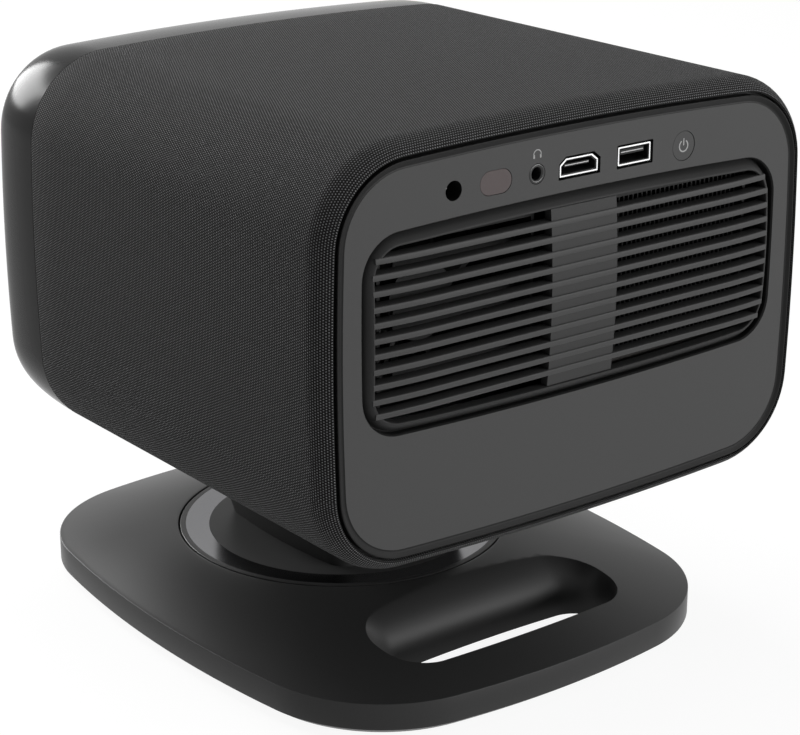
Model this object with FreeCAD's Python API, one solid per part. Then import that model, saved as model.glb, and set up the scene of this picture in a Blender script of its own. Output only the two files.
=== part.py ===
import FreeCAD, Part
import math
import os

# Portable projector: a fabric-wrapped body that tilts on a neck, which turns on a round
# turntable let into a heavy base plate with a carrying slot.
# Millimetres. Origin: on the turntable's axis, at the surface that the feet stand on.
# +Z up, -Y is the way the lens looks, +Y is the side with the sockets and the grille.

V = FreeCAD.Vector

# --- Shared fits ----------------------------------------------------------------------
RUN_FIT = 0.05                # running fit of shafts, bushes and slides
CLEAR = 0.3                   # air between neighbours that do not touch
CUT = 1.0                     # how far a cutting tool runs past the face it opens

# --- Base plate -----------------------------------------------------------------------
BASE_HALF_WIDTH = 87.5        # X, at the middle of the bowed sides
BASE_HALF_DEPTH = 106.5       # Y
BASE_CENTRE_Y = 14.0          # the plate reaches further back than forward
BASE_CORNER_R = 48.0
BASE_SIDE_R = 420.0           # bow of the two long sides
BASE_END_R = 300.0            # bow of the front and the back edge
BASE_FOOT_GAP = 1.5           # daylight under the plate
BASE_TAPER_HEIGHT = 2.7       # tapered lower edge
BASE_UNDERCUT = 3.5           # how far the taper goes in
BASE_EDGE_HEIGHT = 8.8        # upright edge above the taper
BASE_EDGE_CHAMFER = 0.3
BASE_DOME_HEIGHT = 8.0        # rise from the edge to the turntable
BASE_SWELL = 1.1              # how much the crown bulges above a straight slope
BASE_WALL = 2.8
COVER_T = 2.0
COVER_GAP = 0.25
COVER_SEAT = 6.2              # width of the rim that surrounds the bottom cover
WEIGHT_T = 5.0
WEIGHT_GAP = 3.0              # air between the ballast plate and its neighbours
FOOT_R = 9.0
FOOT_T = 2.3
FOOT_EDGE_R = 0.6
FOOT_FROM_SIDE = 26.5         # middle of a foot, in from the plate's edges
FOOT_FROM_FRONT = 32.5
FOOT_FROM_BACK = 33.5
COVER_SCREW_R = 1.2
COVER_SCREW_HEAD_R = 2.8
COVER_SCREW_HEAD_T = 1.2
COVER_SCREW_LENGTH = 6.0
BOSS_R = 3.6
BOSS_FRONT_FROM_SIDE = 21.5   # the two front screws, in from the plate's edges
BOSS_FRONT_FROM_EDGE = 46.5
BOSS_SIDE_FROM_SIDE = 14.5    # the two middle screws
BOSS_SIDE_BEHIND_MIDDLE = 26.0
BOSS_BACK_X = 24.0            # the two screws in the strip behind the slot

# --- Carrying slot --------------------------------------------------------------------
SLOT_SIDE_LAND = 37.5         # plate left beside the slot, from the side edge
SLOT_FRONT_LAND = 3.8         # plate left between the turntable's well and the slot
SLOT_BACK_LAND = 17.5         # strip left behind the slot
SLOT_ROLL = 13.5              # the front wall rolls over by this much, top to bottom
SLOT_END_ROLL = 5.0
SLOT_BACK_DRAFT = 1.0
SLOT_START_ANGLE = 8.0        # slope of the roll where it leaves the top, in degrees
SLOT_SECTIONS = 6
SLOT_CORNER = 0.84            # radius of the slot's corners, in half depths of the slot
SLOT_BOW = 0.15               # bow of its long sides, in half depths
SLOT_WALL = 2.2

# --- Turntable ------------------------------------------------------------------------
TABLE_R = 57.1
TABLE_GAP = 0.7               # open ring round the turntable
TABLE_T = 3.4
WELL_LIP = 0.8                # level ring of the plate round the open ring
WELL_FLOOR_T = 2.5
TRIM_FLAT = 1.1               # flat rim outside the bevel
TRIM_WIDTH = 10.2
TRIM_DISH = 0.6               # the bevel falls this much towards the middle
TRIM_T = 1.8
GLIDE_INSET = 5.1             # glide ring, in from the turntable's edge
GLIDE_WIDTH = 10.0
GLIDE_T = 1.4
HUB_R = 14.0
HUB_BORE_R = 9.0
BUSH_T = 2.0
BUSH_COLLAR = 3.0
RETAINER_R = 21.0
RETAINER_T = 2.4
WASHER_T = 1.1
WASHER_INSET = 0.5
HUB_SCREW_COUNT = 3
HUB_SCREW_R = 1.0
HUB_SCREW_HEAD_R = 1.9
HUB_SCREW_HEAD_T = 1.2
HUB_SCREW_GRIP = 4.5          # length of thread in the hub

# --- Neck and tilt hinge --------------------------------------------------------------
NECK_HALF_WIDTH = 28.0
NECK_HALF_DEPTH = 36.0
NECK_FLARE = 3.0              # the neck grows this much towards its shoulder
NECK_CORNER_R = 8.0
NECK_BOW = 6.0                # radius of the neck's sides, in half widths
NECK_SHOULDER = 15.0          # height of the shoulder above the turntable
NECK_EDGE_R = 2.5
NECK_SCREW_FROM_SIDE = 10.0
NECK_SCREW_FROM_END = 12.0
NECK_SCREW_R = 1.5
NECK_SCREW_HEAD_R = 2.9
NECK_SCREW_HEAD_T = 1.3
NECK_SCREW_LENGTH = 9.0
HINGE_HEIGHT = 25.6           # hinge axis above the turntable
HINGE_R = 9.5
SADDLE_GAP = 0.8              # air round the knuckle in the neck
KNUCKLE_HALF_WIDTH = 18.0
HINGE_WASHER_T = 0.8
HINGE_WASHER_INSET = 0.5
HINGE_SIDE_PLAY = 0.1
CHEEK_T = 9.0
PIN_R = 4.0
PIN_HEAD_R = 7.0
PIN_HEAD_T = 1.6
BRACKET_T = 3.0               # mounting pad below the fabric
BRACKET_HALF_WIDTH = 31.0
BRACKET_HALF_DEPTH = 29.0
BRACKET_CORNER_R = 8.0
BRACKET_BOW_R = 900.0
BRACKET_SCREW_X = 24.0
BRACKET_SCREW_Y = 21.0
BRACKET_SCREW_R = 1.5
BRACKET_SCREW_HEAD_R = 2.9
BRACKET_SCREW_HEAD_T = 1.6
BRACKET_SCREW_COVER = 1.2     # bracket left below the screws' ends
THREAD_BOTTOM = 0.4           # hole left below a screw's end

# --- Body -----------------------------------------------------------------------------
BODY_WIDTH = 191.5
BODY_HEIGHT = 132.0
BODY_CORNER_R = 29.5
BODY_SIDE_R = 845.0           # bow of the left and right walls
BODY_TOP_R = 1550.0           # bow of the top and the bottom
BODY_GAP = 39.7               # underside of the body above the turntable
PANEL_FACE_Y = 121.5          # socket panel, behind the turntable's axis
SLEEVE_LENGTH = 160.4         # from the panel's face forward to the front ring
FABRIC_T = 1.0
FRAME_T = 2.5
FRAME_STEP = 3.0              # depth of the frame's full section behind the ring
ROLL_R = 10.5                 # rounding of the fabric's back edge
ROLL_WIDTH = 4.35             # from the side of the body to the open groove
ROLL_PROUD = 0.8              # the rounded edge stands this far behind the panel
GROOVE_WIDTH = 0.95
PANEL_T = 3.0
PANEL_RIM_WIDTH = 2.3         # raised rim, dished towards the panel's face
PANEL_RIM_FLAT = 0.4
PANEL_RIM_HEIGHT = 0.6
FLANGE_T = 2.5
FLANGE_WIDTH = 9.0
MOUNT_T = 2.0                 # steel plate under the light engine

# --- Front ring and front panel -------------------------------------------------------
RING_DEPTH = 27.5
RING_TAPER = 4.7              # the ring draws in by this much at its front edge
RING_WALL = 3.2
RING_LIP = 4.0                # front lip that holds the panel
RING_LIP_T = 4.2
SPIGOT_T = 2.4
SPIGOT_GAP = 0.1
FRONT_PANEL_T = 2.2
FRONT_PANEL_GAP = 0.2
LENS_HEIGHT = 8.0             # lens axis above the middle of the body
LENS_PORT_R = 21.5
LENS_WINDOW_R = 23.0
LENS_WINDOW_T = 1.6
SENSOR_X = 48.0
SENSOR_HALF_WIDTH = 15.0
SENSOR_HALF_HEIGHT = 5.5

# --- Lens, focusing drive and light engine --------------------------------------------
BARREL_R = 20.0
BARREL_T = 2.0
BARREL_GAP = 1.0              # from the front panel to the barrel
BARREL_FLANGE = 2.5
BARREL_FLANGE_T = 2.0
REAR_LENS_T = 6.0
REAR_LENS_SAG = 1.5
REAR_LENS_SETBACK = 8.0
CARRIER_T = 1.6
CARRIER_LENGTH = 18.0
CARRIER_SETBACK = 8.5         # from the barrel's front end at rest
FRONT_LENS_T = 7.0
FRONT_LENS_SAG = 2.0
FRONT_LENS_SETBACK = 1.0
FOCUS_TRAVEL = 3.0
SCREW_R = 1.5
SCREW_FROM_BARREL = 6.5
SCREW_OVERRUN = 3.0           # screw left in front of the nut at full travel
LUG_SETBACK = 6.0             # nut lug behind the carrier's front end
LUG_LENGTH = 6.0
LUG_HALF = 3.0
LUG_REACH = 3.5               # past the screw's axis
LUG_SLOT_GAP = 0.5
MOTOR_LENGTH = 12.0
MOTOR_R = 5.0
MOTOR_SHAFT = 7.5
ENGINE_HALF_WIDTH = 34.0
ENGINE_FRONT = 18.9           # behind the front seam
ENGINE_LENGTH = 78.0
ENGINE_DROP = 24.0
ENGINE_RISE = 20.0
ENGINE_STEP = 10.0            # the top steps down behind the lens
ENGINE_STEP_BACK = 22.0
ENGINE_NOTCH = 18.0
LIGHT_PATH_DEPTH = 14.0
CRADLE_WALL = 2.0
CRADLE_LEDGE = 10.0
CRADLE_MARGIN = 6.0           # plate round the cradle's walls
CRADLE_EDGE = 12.0            # wall left round the openings in the cradle

# --- Grille ---------------------------------------------------------------------------
GRILLE_FROM_SIDE = 14.15      # opening in the panel, in from the body's side
GRILLE_HALF_HEIGHT = 31.6
GRILLE_CORNER_R = 13.5
GRILLE_SIDE_R = 900.0
GRILLE_HEIGHT = 9.0           # middle of the grille above the middle of the body
GRILLE_GAP = 0.7              # open line round the insert
GRILLE_BORDER = 3.4           # solid border between the edge and the slats
GRILLE_CROWN = 2.4            # slats at the middle, behind the panel face
GRILLE_EDGE_SINK = 2.0        # edge of the insert, in front of the panel face
GRILLE_DROP_Z = 1.0           # fall of the crown towards top and bottom
GRILLE_DROP_X = 1.2           # fall of the crown towards the two ends
GRILLE_CURVE_X = 21.5         # length of the falling part at each end
BORDER_SHOULDER = 0.9         # fullness of the border's rounding
SLAT_COUNT = 11
SLAT_PITCH = 4.58
SLAT_T = 1.85
SLAT_DEPTH = 4.6
COLUMN_HALF_WIDTH = 12.9
COLUMN_SINK = 0.5
INSERT_FLANGE_T = 1.5
INSERT_FLANGE = 1.6

# --- Sockets, window and button on the panel, from left to right as +X to -X ----------
PORT_HEIGHT = 47.7            # row of sockets above the middle of the body
SOCKET_DEPTH = 13.0           # bodies of the round sockets, behind the panel
DC_X = 49.1
DC_R = 2.95
DC_PIN_R = 0.85
DC_BORE_DEPTH = 10.0
DC_PIN_SETBACK = 0.8
DC_BODY_HALF = 4.6
IR_X = 33.6
IR_HALF_WIDTH = 5.9
IR_HALF_HEIGHT = 3.6
IR_SETBACK = 0.1
RECEIVER_HALF = 3.5
RECEIVER_DEPTH = 5.0
PHONE_X = 18.2
PHONE_RING_R = 3.05
PHONE_R = 1.8
PHONE_BORE_DEPTH = 12.0
PHONE_BODY_HALF = 3.4
PHONE_SETBACK = 0.1
HDMI_X = 1.65
HDMI_WIDTH = 14.8
HDMI_HEIGHT = 5.35
HDMI_CHAMFER_X = 2.3
HDMI_CHAMFER_Z = 1.8
USB_X = -20.45
USB_WIDTH = 13.1
USB_HEIGHT = 5.7
SHELL_T = 0.5                 # sheet of the two connector shells
SHELL_DEPTH = 13.5
SHELL_SETBACK = 0.4           # mouths of the shells, in front of the panel's face
SHELL_FLOOR = 4.0             # solid back of a connector
SHELL_RELIEF = 0.75           # the panel's cut-out is larger than the shell all round
HDMI_TONGUE_HALF = 4.9
HDMI_TONGUE_T = 0.9
USB_TONGUE_T = 1.5
TONGUE_MARGIN = 1.2           # air beside the tongue in the flat connector
TONGUE_SETBACK = 1.1
TONGUE_RISE = 0.1
POWER_X = -40.6
POWER_R = 4.6
POWER_DROP = 0.5              # the button sits lower than the sockets by this
BUTTON_GAP = 0.1
BUTTON_TRAVEL = 0.6
BUTTON_FLANGE = 1.4
BUTTON_FLANGE_T = 1.2
BUTTON_FLANGE_HALF = 3.3
STEM_R = 1.5
STEM_LENGTH = 5.0
SWITCH_HALF = 3.5
SWITCH_DEPTH = 5.0

# --- Boards ---------------------------------------------------------------------------
BOARD_T = 1.6
PORT_BOARD_DROP = 4.2         # top of the port board below the sockets' axis
PORT_BOARD_DEPTH = 20.7
PORT_BOARD_MARGIN = 6.5
PORT_POST_R = 2.5
PORT_POST_FROM_EDGE = 5.0
PORT_POST_LEFT_X = 26.0
PORT_POST_RIGHT_X = -33.5
MAIN_BOARD_HALF_WIDTH = 62.0
MAIN_BOARD_FRONT_Y = -30.0
MAIN_BOARD_BACK_Y = 76.0
MAIN_BOARD_DROP = 12.0        # below the frame's ceiling
BOARD_POST_R = 3.0
BOARD_POST_FROM_EDGE = 6.0
CHIP_HALF = 14.0
CHIP_T = 4.0
MEMORY_T = 2.0
COIL_HALF = 6.0
COIL_T = 7.0
PLUG_HALF = 16.0

# --- Fans, heat sink and speakers -----------------------------------------------------
FAN_SIZE = 56.0
FAN_T = 15.0
FAN_X = 44.0
FAN_RIM = 1.3                 # thinnest wall of the square frame
FAN_HUB_R = 12.0
FAN_TIP_GAP = 0.8
FAN_BLADES = 7
FAN_BLADE_T = 1.2
FAN_BLADE_CHORD = 16.0
FAN_PITCH_ANGLE = 38.0
FAN_PIN_R = 1.5
FAN_SLEEVE_R = 4.0
FAN_SLEEVE_LENGTH = 12.0
FAN_STRUT_T = 2.0
FAN_STRUT_WIDTH = 3.2
FAN_END_GAP = 0.7
FAN_HOLE_R = 1.7
FAN_HOLE_FROM_EDGE = 4.0
FIN_PITCH = 1.9
FIN_T = 0.5
FIN_SET_BACK = 1.5
SINK_DEPTH = 16.0
SINK_WALL = 1.2
SINK_HALF_WIDTH = 29.0
SINK_HALF_HEIGHT = 26.0
BAFFLE_T = 1.2
PIPE_R = 3.0
PIPE_BEND_R = 10.0
PIPE_SPACING = 7.5
PIPE_FIRST_X = -7.0
PIPE_LANE = 3.5               # first pipe behind the fans
SPREADER_MARGIN = 7.0
SPREADER_LENGTH = 34.0
PIPE_GRIP = 20.0              # length of pipe in the spreader
SPEAKER_R = 25.0
SPEAKER_DEPTH = 26.0
SPEAKER_Y = 8.0
SPEAKER_DROP = 13.0           # below the middle of the body
SPEAKER_SEAT_T = 1.8
SPEAKER_SEAT_WIDTH = 4.5
SPEAKER_FLANGE_T = 2.0
SPEAKER_RIM = 3.0
MAGNET_R = 15.0
BASKET_DEPTH = 15.5
CONE_DEPTH = 9.0
CONE_INNER_R = 8.0
DUST_CAP_R = 7.5


# --- Places that follow from the sizes ------------------------------------------------
BASE_UNDERCUT_Z = BASE_FOOT_GAP + BASE_TAPER_HEIGHT
BASE_EDGE_Z = BASE_UNDERCUT_Z + BASE_EDGE_HEIGHT
BASE_CROWN_Z = BASE_EDGE_Z + BASE_DOME_HEIGHT
BASE_FRONT_Y = BASE_CENTRE_Y - BASE_HALF_DEPTH
BASE_BACK_Y = BASE_CENTRE_Y + BASE_HALF_DEPTH
COVER_Z = BASE_FOOT_GAP + COVER_T
TABLE_TOP = BASE_CROWN_Z - TRIM_DISH            # flat middle of the turntable
TABLE_BOTTOM = BASE_CROWN_Z - TABLE_T
TRIM_INNER_R = TABLE_R - TRIM_WIDTH
WELL_Z = TABLE_BOTTOM - RUN_FIT - GLIDE_T       # floor of the well in the base
WELL_R = TABLE_R + TABLE_GAP
WELL_UNDERSIDE = WELL_Z - WELL_FLOOR_T
BUSH_R = HUB_R + RUN_FIT + BUSH_T
SLOT_HALF_WIDTH = BASE_HALF_WIDTH - SLOT_SIDE_LAND
SLOT_FRONT_Y = WELL_R + SLOT_FRONT_LAND         # front lip, at the top surface
SLOT_BACK_Y = BASE_BACK_Y - SLOT_BACK_LAND
HINGE_Z = BASE_CROWN_Z + HINGE_HEIGHT
CHEEK_INNER = KNUCKLE_HALF_WIDTH + HINGE_WASHER_T + HINGE_SIDE_PLAY
CHEEK_OUTER = CHEEK_INNER + CHEEK_T

BODY_Z = BASE_CROWN_Z + BODY_GAP + BODY_HEIGHT / 2
BODY_BOTTOM = BODY_Z - BODY_HEIGHT / 2
FRAME_INNER = FABRIC_T + FRAME_T
INNER_TOP = BODY_Z + BODY_HEIGHT / 2 - FRAME_INNER
INNER_BOTTOM = BODY_BOTTOM + FRAME_INNER
FRONT_SEAM_Y = PANEL_FACE_Y - SLEEVE_LENGTH     # fabric ends, front ring begins
FRONT_Y = FRONT_SEAM_Y - RING_DEPTH
LIP_BACK = FRONT_Y + RING_LIP_T
FRONT_PANEL_BACK = LIP_BACK + FRONT_PANEL_T
SPIGOT_INSET = RING_WALL + SPIGOT_GAP
PANEL_BACK = PANEL_FACE_Y - PANEL_T
PANEL_INSET = ROLL_WIDTH + GROOVE_WIDTH
FLANGE_FRONT = PANEL_BACK - FLANGE_T
INSERT_BACK = PANEL_BACK - INSERT_FLANGE_T
LIP_INSET = ROLL_WIDTH - FABRIC_T
ROLL_FALL = ROLL_R - math.sqrt(ROLL_R ** 2 - (ROLL_R - ROLL_WIDTH) ** 2)
BODY_END_Y = PANEL_FACE_Y + ROLL_PROUD + ROLL_FALL      # where the rounding would close
LENS_Z = BODY_Z + LENS_HEIGHT
ENGINE_FRONT_Y = FRONT_SEAM_Y + ENGINE_FRONT
ENGINE_BACK_Y = ENGINE_FRONT_Y + ENGINE_LENGTH
BARREL_INNER = BARREL_R - BARREL_T
BARREL_FRONT_Y = FRONT_PANEL_BACK + BARREL_GAP
CARRIER_R = BARREL_INNER - RUN_FIT
CARRIER_FRONT_Y = BARREL_FRONT_Y + CARRIER_SETBACK + FOCUS_TRAVEL
LUG_FRONT_Y = CARRIER_FRONT_Y + LUG_SETBACK
SCREW_X = BARREL_R + SCREW_FROM_BARREL
MOTOR_FRONT_Y = ENGINE_FRONT_Y - MOTOR_LENGTH
GRILLE_Z = BODY_Z + GRILLE_HEIGHT
GRILLE_HALF_WIDTH = BODY_WIDTH / 2 - GRILLE_FROM_SIDE
PORT_Z = BODY_Z + PORT_HEIGHT
PORT_BOARD_TOP = PORT_Z - PORT_BOARD_DROP
PORT_BOARD_BACK_Y = INSERT_BACK - CLEAR
PORT_BOARD_FRONT_Y = PORT_BOARD_BACK_Y - PORT_BOARD_DEPTH
SHELL_FACE = PANEL_FACE_Y - SHELL_SETBACK
BOARD_Z = INNER_TOP - MAIN_BOARD_DROP
SPEAKER_SEAT = BODY_WIDTH / 2 - FRAME_INNER - SPEAKER_SEAT_T
SPEAKER_Z = BODY_Z - SPEAKER_DROP
FAN_FRONT_Y = INSERT_BACK - SINK_DEPTH - FAN_T

FOOT_X = BASE_HALF_WIDTH - FOOT_FROM_SIDE
FOOT_PLACES = {"foot_front_left": (FOOT_X, BASE_FRONT_Y + FOOT_FROM_FRONT),
               "foot_front_right": (-FOOT_X, BASE_FRONT_Y + FOOT_FROM_FRONT),
               "foot_back_left": (FOOT_X, BASE_BACK_Y - FOOT_FROM_BACK),
               "foot_back_right": (-FOOT_X, BASE_BACK_Y - FOOT_FROM_BACK)}
STRIP_FRONT_Y = SLOT_BACK_Y + SLOT_WALL + COVER_GAP
STRIP_MIDDLE_Y = (STRIP_FRONT_Y + BASE_BACK_Y - COVER_SEAT - COVER_GAP) / 2
COVER_BOSSES = [(side * x, y) for side in (-1, 1) for x, y in (
    (BASE_HALF_WIDTH - BOSS_FRONT_FROM_SIDE, BASE_FRONT_Y + BOSS_FRONT_FROM_EDGE),
    (BASE_HALF_WIDTH - BOSS_SIDE_FROM_SIDE, BASE_CENTRE_Y + BOSS_SIDE_BEHIND_MIDDLE),
    (BOSS_BACK_X, STRIP_MIDDLE_Y - CLEAR))]
BRACKET_SCREWS = [(x, y) for x in (-BRACKET_SCREW_X, BRACKET_SCREW_X)
                  for y in (-BRACKET_SCREW_Y, BRACKET_SCREW_Y)]
POST_X = MAIN_BOARD_HALF_WIDTH - BOARD_POST_FROM_EDGE
BOARD_POSTS = [(x, y) for x in (-POST_X, POST_X)
               for y in (MAIN_BOARD_FRONT_Y + BOARD_POST_FROM_EDGE,
                         MAIN_BOARD_BACK_Y - BOARD_POST_FROM_EDGE)]
PORT_POSTS = [(x, PORT_BOARD_FRONT_Y + PORT_POST_FROM_EDGE)
              for x in (PORT_POST_RIGHT_X, PORT_POST_LEFT_X)]


# --- Basic shapes ---------------------------------------------------------------------
def box(x0, x1, y0, y1, z0, z1):
    return Part.makeBox(x1 - x0, y1 - y0, z1 - z0, V(x0, y0, z0))


def rod(radius, start, end):
    """Solid cylinder between two points."""
    axis = end.sub(start)
    return Part.makeCylinder(radius, axis.Length, start, axis)


def upright(radius, x, y, z0, z1):
    return rod(radius, V(x, y, z0), V(x, y, z1))


def tube(outer_r, inner_r, start, end):
    axis = end.sub(start).normalize()
    return rod(outer_r, start, end).cut(rod(inner_r, start - axis, end + axis))


def fuse(shapes):
    result = shapes[0]
    if len(shapes) > 1:
        result = result.fuse(shapes[1:])
    return result.removeSplitter()


def cushion(half_a, half_b, corner_r, side_r, end_r, place):
    """Closed wire of eight tangent arcs: a rectangle with round corners and bowed sides.

    place turns the two in-plane coordinates into a point."""
    ax = half_a - side_r
    by = half_b - end_r
    d1 = side_r - corner_r
    d2 = end_r - corner_r
    span = math.hypot(ax, by)
    along = (d1 * d1 - d2 * d2 + span * span) / (2 * span)
    off = math.sqrt(d1 * d1 - along * along)
    foot = (ax - along * ax / span, along * by / span)
    cx = foot[0] - off * by / span
    cy = foot[1] - off * ax / span
    t1 = math.atan2(cy, cx - ax)
    t2 = math.atan2(cy - by, cx)
    quarter = math.pi / 2

    def on(centre, radius, angle):
        return centre[0] + radius * math.cos(angle), centre[1] + radius * math.sin(angle)

    side = [on((ax, 0), side_r, t) for t in (-t1, 0, t1)]
    corner = [on((cx, cy), corner_r, t) for t in (t1, (t1 + t2) / 2, t2)]
    end = [on((0, by), end_r, t) for t in (t2, quarter, 2 * quarter - t2)]
    mirror_x = [(-a, b) for a, b in reversed(corner)]
    arcs = [side, corner, end, mirror_x]
    arcs += [[(-a, -b) for a, b in arc] for arc in arcs]
    edges = [Part.Arc(*[place(a, b) for a, b in arc]).toShape() for arc in arcs]
    return Part.Wire(edges)


def circle_in_eight(radius, half_a, half_b, corner_r, place):
    """Circle cut into eight arcs that face the arcs of a cushion."""
    t1 = math.atan2(half_b - corner_r, half_a)
    t2 = math.atan2(half_b, half_a - corner_r)
    marks = [-t1, t1, t2, math.pi - t2, math.pi - t1, math.pi + t1, math.pi + t2, -t2, -t1]
    edges = []
    for start, end in zip(marks, marks[1:]):
        while end < start:
            end += 2 * math.pi
        points = [place(radius * math.cos(t), radius * math.sin(t))
                  for t in (start, (start + end) / 2, end)]
        edges.append(Part.Arc(*points).toShape())
    return Part.Wire(edges)


def stadium(half_a, half_b, place):
    """Closed wire with two straight sides and two half-round ends."""
    flat = half_a - half_b
    pts = [(-flat, -half_b), (flat, -half_b), (half_a, 0), (flat, half_b), (-flat, half_b),
           (-half_a, 0)]
    p = [place(a, b) for a, b in pts]
    return Part.Wire([Part.LineSegment(p[0], p[1]).toShape(),
                      Part.Arc(p[1], p[2], p[3]).toShape(),
                      Part.LineSegment(p[3], p[4]).toShape(),
                      Part.Arc(p[4], p[5], p[0]).toShape()])


def polygon(points):
    return Part.makePolygon(points + [points[0]])


def prism(wire, direction):
    return Part.Face(wire).extrude(direction)


def screw(x, y, head_z, shank_r, head_r, head_t, length):
    """Upright screw: its head sits on the far side of the joint from the thread.

    A positive length drives the screw up from its head, a negative one down."""
    way = math.copysign(1, length)
    head = rod(head_r, V(x, y, head_z), V(x, y, head_z - way * head_t))
    return head.fuse(rod(shank_r, V(x, y, head_z), V(x, y, head_z + length)))


# --- Sections -------------------------------------------------------------------------
def body_wire(inset, y):
    """Section of the body, drawn in by inset, at the given Y."""
    return cushion(BODY_WIDTH / 2 - inset, BODY_HEIGHT / 2 - inset, BODY_CORNER_R - inset,
                   BODY_SIDE_R - inset, BODY_TOP_R - inset, lambda a, b: V(a, y, BODY_Z + b))


def body_prism(inset, y0, y1):
    return prism(body_wire(inset, y0), V(0, y1 - y0, 0))


def rounded_body(inset, y0, end_y, radius):
    """Body section from y0 to end_y with its far edge rounded."""
    solid = body_prism(inset, y0, end_y)
    far = [e for e in solid.Edges if abs(e.BoundBox.YMin - end_y) < 1e-6
           and abs(e.BoundBox.YMax - end_y) < 1e-6]
    return solid.makeFillet(radius, far)


def base_wire(inset, z):
    return cushion(BASE_HALF_WIDTH - inset, BASE_HALF_DEPTH - inset, BASE_CORNER_R - inset,
                   BASE_SIDE_R - inset, BASE_END_R - inset,
                   lambda a, b: V(a, BASE_CENTRE_Y + b, z))


def base_prism(inset, z0, z1):
    return prism(base_wire(inset, z0), V(0, 0, z1 - z0))


def crown(inset, edge_z, crown_z, radius):
    """Swelling top of the base, from its edge up to the circle round the turntable."""
    half_a, half_b = BASE_HALF_WIDTH - inset, BASE_HALF_DEPTH - inset
    middle_a, middle_b = (half_a + radius) / 2, (half_b + radius) / 2
    middle = cushion(middle_a, middle_b, (BASE_CORNER_R + radius) / 2, BASE_SIDE_R / 2,
                     BASE_END_R / 2, lambda a, b: V(a, BASE_CENTRE_Y / 2 + b,
                                                    (edge_z + crown_z) / 2 + BASE_SWELL))
    ring = circle_in_eight(radius, half_a, half_b, BASE_CORNER_R,
                           lambda a, b: V(a, b, crown_z))
    return Part.makeLoft([base_wire(inset, edge_z), middle, ring], True, False)


def grille_wire(inset, y):
    return cushion(GRILLE_HALF_WIDTH - inset, GRILLE_HALF_HEIGHT - inset,
                   GRILLE_CORNER_R - inset, GRILLE_SIDE_R - inset, 2 * GRILLE_SIDE_R - inset,
                   lambda a, b: V(a, y, GRILLE_Z + b))


def grille_prism(inset, y0, y1):
    return prism(grille_wire(inset, y0), V(0, y1 - y0, 0))


def neck_wire(z, grow):
    half_a, half_b = NECK_HALF_WIDTH + grow, NECK_HALF_DEPTH + grow
    return cushion(half_a, half_b, NECK_CORNER_R + grow, NECK_BOW * half_b, NECK_BOW * half_a,
                   lambda a, b: V(a, b, z))


def slot_wire(turn, z, grow):
    """Outline of the carrying slot; turn runs up to 90 degrees at the bottom.

    The front wall and, less so, the ends roll over from nearly level to upright."""
    start = math.sin(math.radians(SLOT_START_ANGLE))
    roll = (math.sin(math.radians(turn)) - start) / (1 - start)
    front = SLOT_FRONT_Y + SLOT_ROLL * roll - grow
    back = SLOT_BACK_Y - SLOT_BACK_DRAFT * roll + grow
    half_a = SLOT_HALF_WIDTH - SLOT_END_ROLL * roll + grow
    half_b = (back - front) / 2
    bow_r = half_a ** 2 / (2 * SLOT_BOW * half_b)
    return cushion(half_a, half_b, SLOT_CORNER * half_b, 2 * SLOT_CORNER * half_b, bow_r,
                   lambda a, b: V(a, (front + back) / 2 + b, z))


def slot_solid(grow):
    """Space of the carrying slot with its wall moved out by grow."""
    height = BASE_CROWN_Z - BASE_FOOT_GAP + CUT
    begin = math.cos(math.radians(SLOT_START_ANGLE))
    wires = []
    for k in range(SLOT_SECTIONS):
        turn = SLOT_START_ANGLE + (90 - SLOT_START_ANGLE) * k / (SLOT_SECTIONS - 1)
        fall = (begin - math.cos(math.radians(turn))) / begin
        wires.append(slot_wire(turn, BASE_CROWN_Z - height * fall, grow))
    return Part.makeLoft(wires, True, False)


parts = {}


# --- Base plate -----------------------------------------------------------------------
def make_base():
    lip_r = WELL_R + WELL_LIP
    taper = Part.makeLoft([base_wire(BASE_UNDERCUT, BASE_FOOT_GAP),
                           base_wire(0, BASE_UNDERCUT_Z)], True, True)
    edge = base_prism(0, BASE_UNDERCUT_Z, BASE_EDGE_Z - BASE_EDGE_CHAMFER)
    chamfer = Part.makeLoft([base_wire(0, BASE_EDGE_Z - BASE_EDGE_CHAMFER),
                             base_wire(BASE_EDGE_CHAMFER, BASE_EDGE_Z)], True, True)
    top = crown(BASE_EDGE_CHAMFER, BASE_EDGE_Z, BASE_CROWN_Z, lip_r)
    outer = taper.fuse([edge, chamfer, top])

    ceiling = BASE_EDGE_Z - BASE_WALL
    cavity = base_prism(COVER_SEAT, BASE_FOOT_GAP - CUT, ceiling)
    cavity = cavity.fuse(crown(COVER_SEAT, ceiling, BASE_CROWN_Z - BASE_WALL, lip_r))
    well_block = upright(WELL_R + BASE_WALL, 0, 0, WELL_UNDERSIDE, BASE_CROWN_Z)
    cavity = cavity.cut([well_block, slot_solid(SLOT_WALL)])
    cavity = cavity.cut([upright(BOSS_R, x, y, COVER_Z, BASE_CROWN_Z)
                         for x, y in COVER_BOSSES])
    screw_end = BASE_FOOT_GAP + COVER_SCREW_HEAD_T + COVER_SCREW_LENGTH
    holes = [upright(COVER_SCREW_R + RUN_FIT, x, y, 0, screw_end + THREAD_BOTTOM)
             for x, y in COVER_BOSSES]
    holes.append(upright(WELL_R, 0, 0, WELL_Z, BASE_CROWN_Z + CUT))
    holes.append(upright(BUSH_R, 0, 0, WELL_UNDERSIDE - CUT, WELL_Z + CUT))
    parts["base_shell"] = outer.cut([cavity, slot_solid(0)] + holes)


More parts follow.
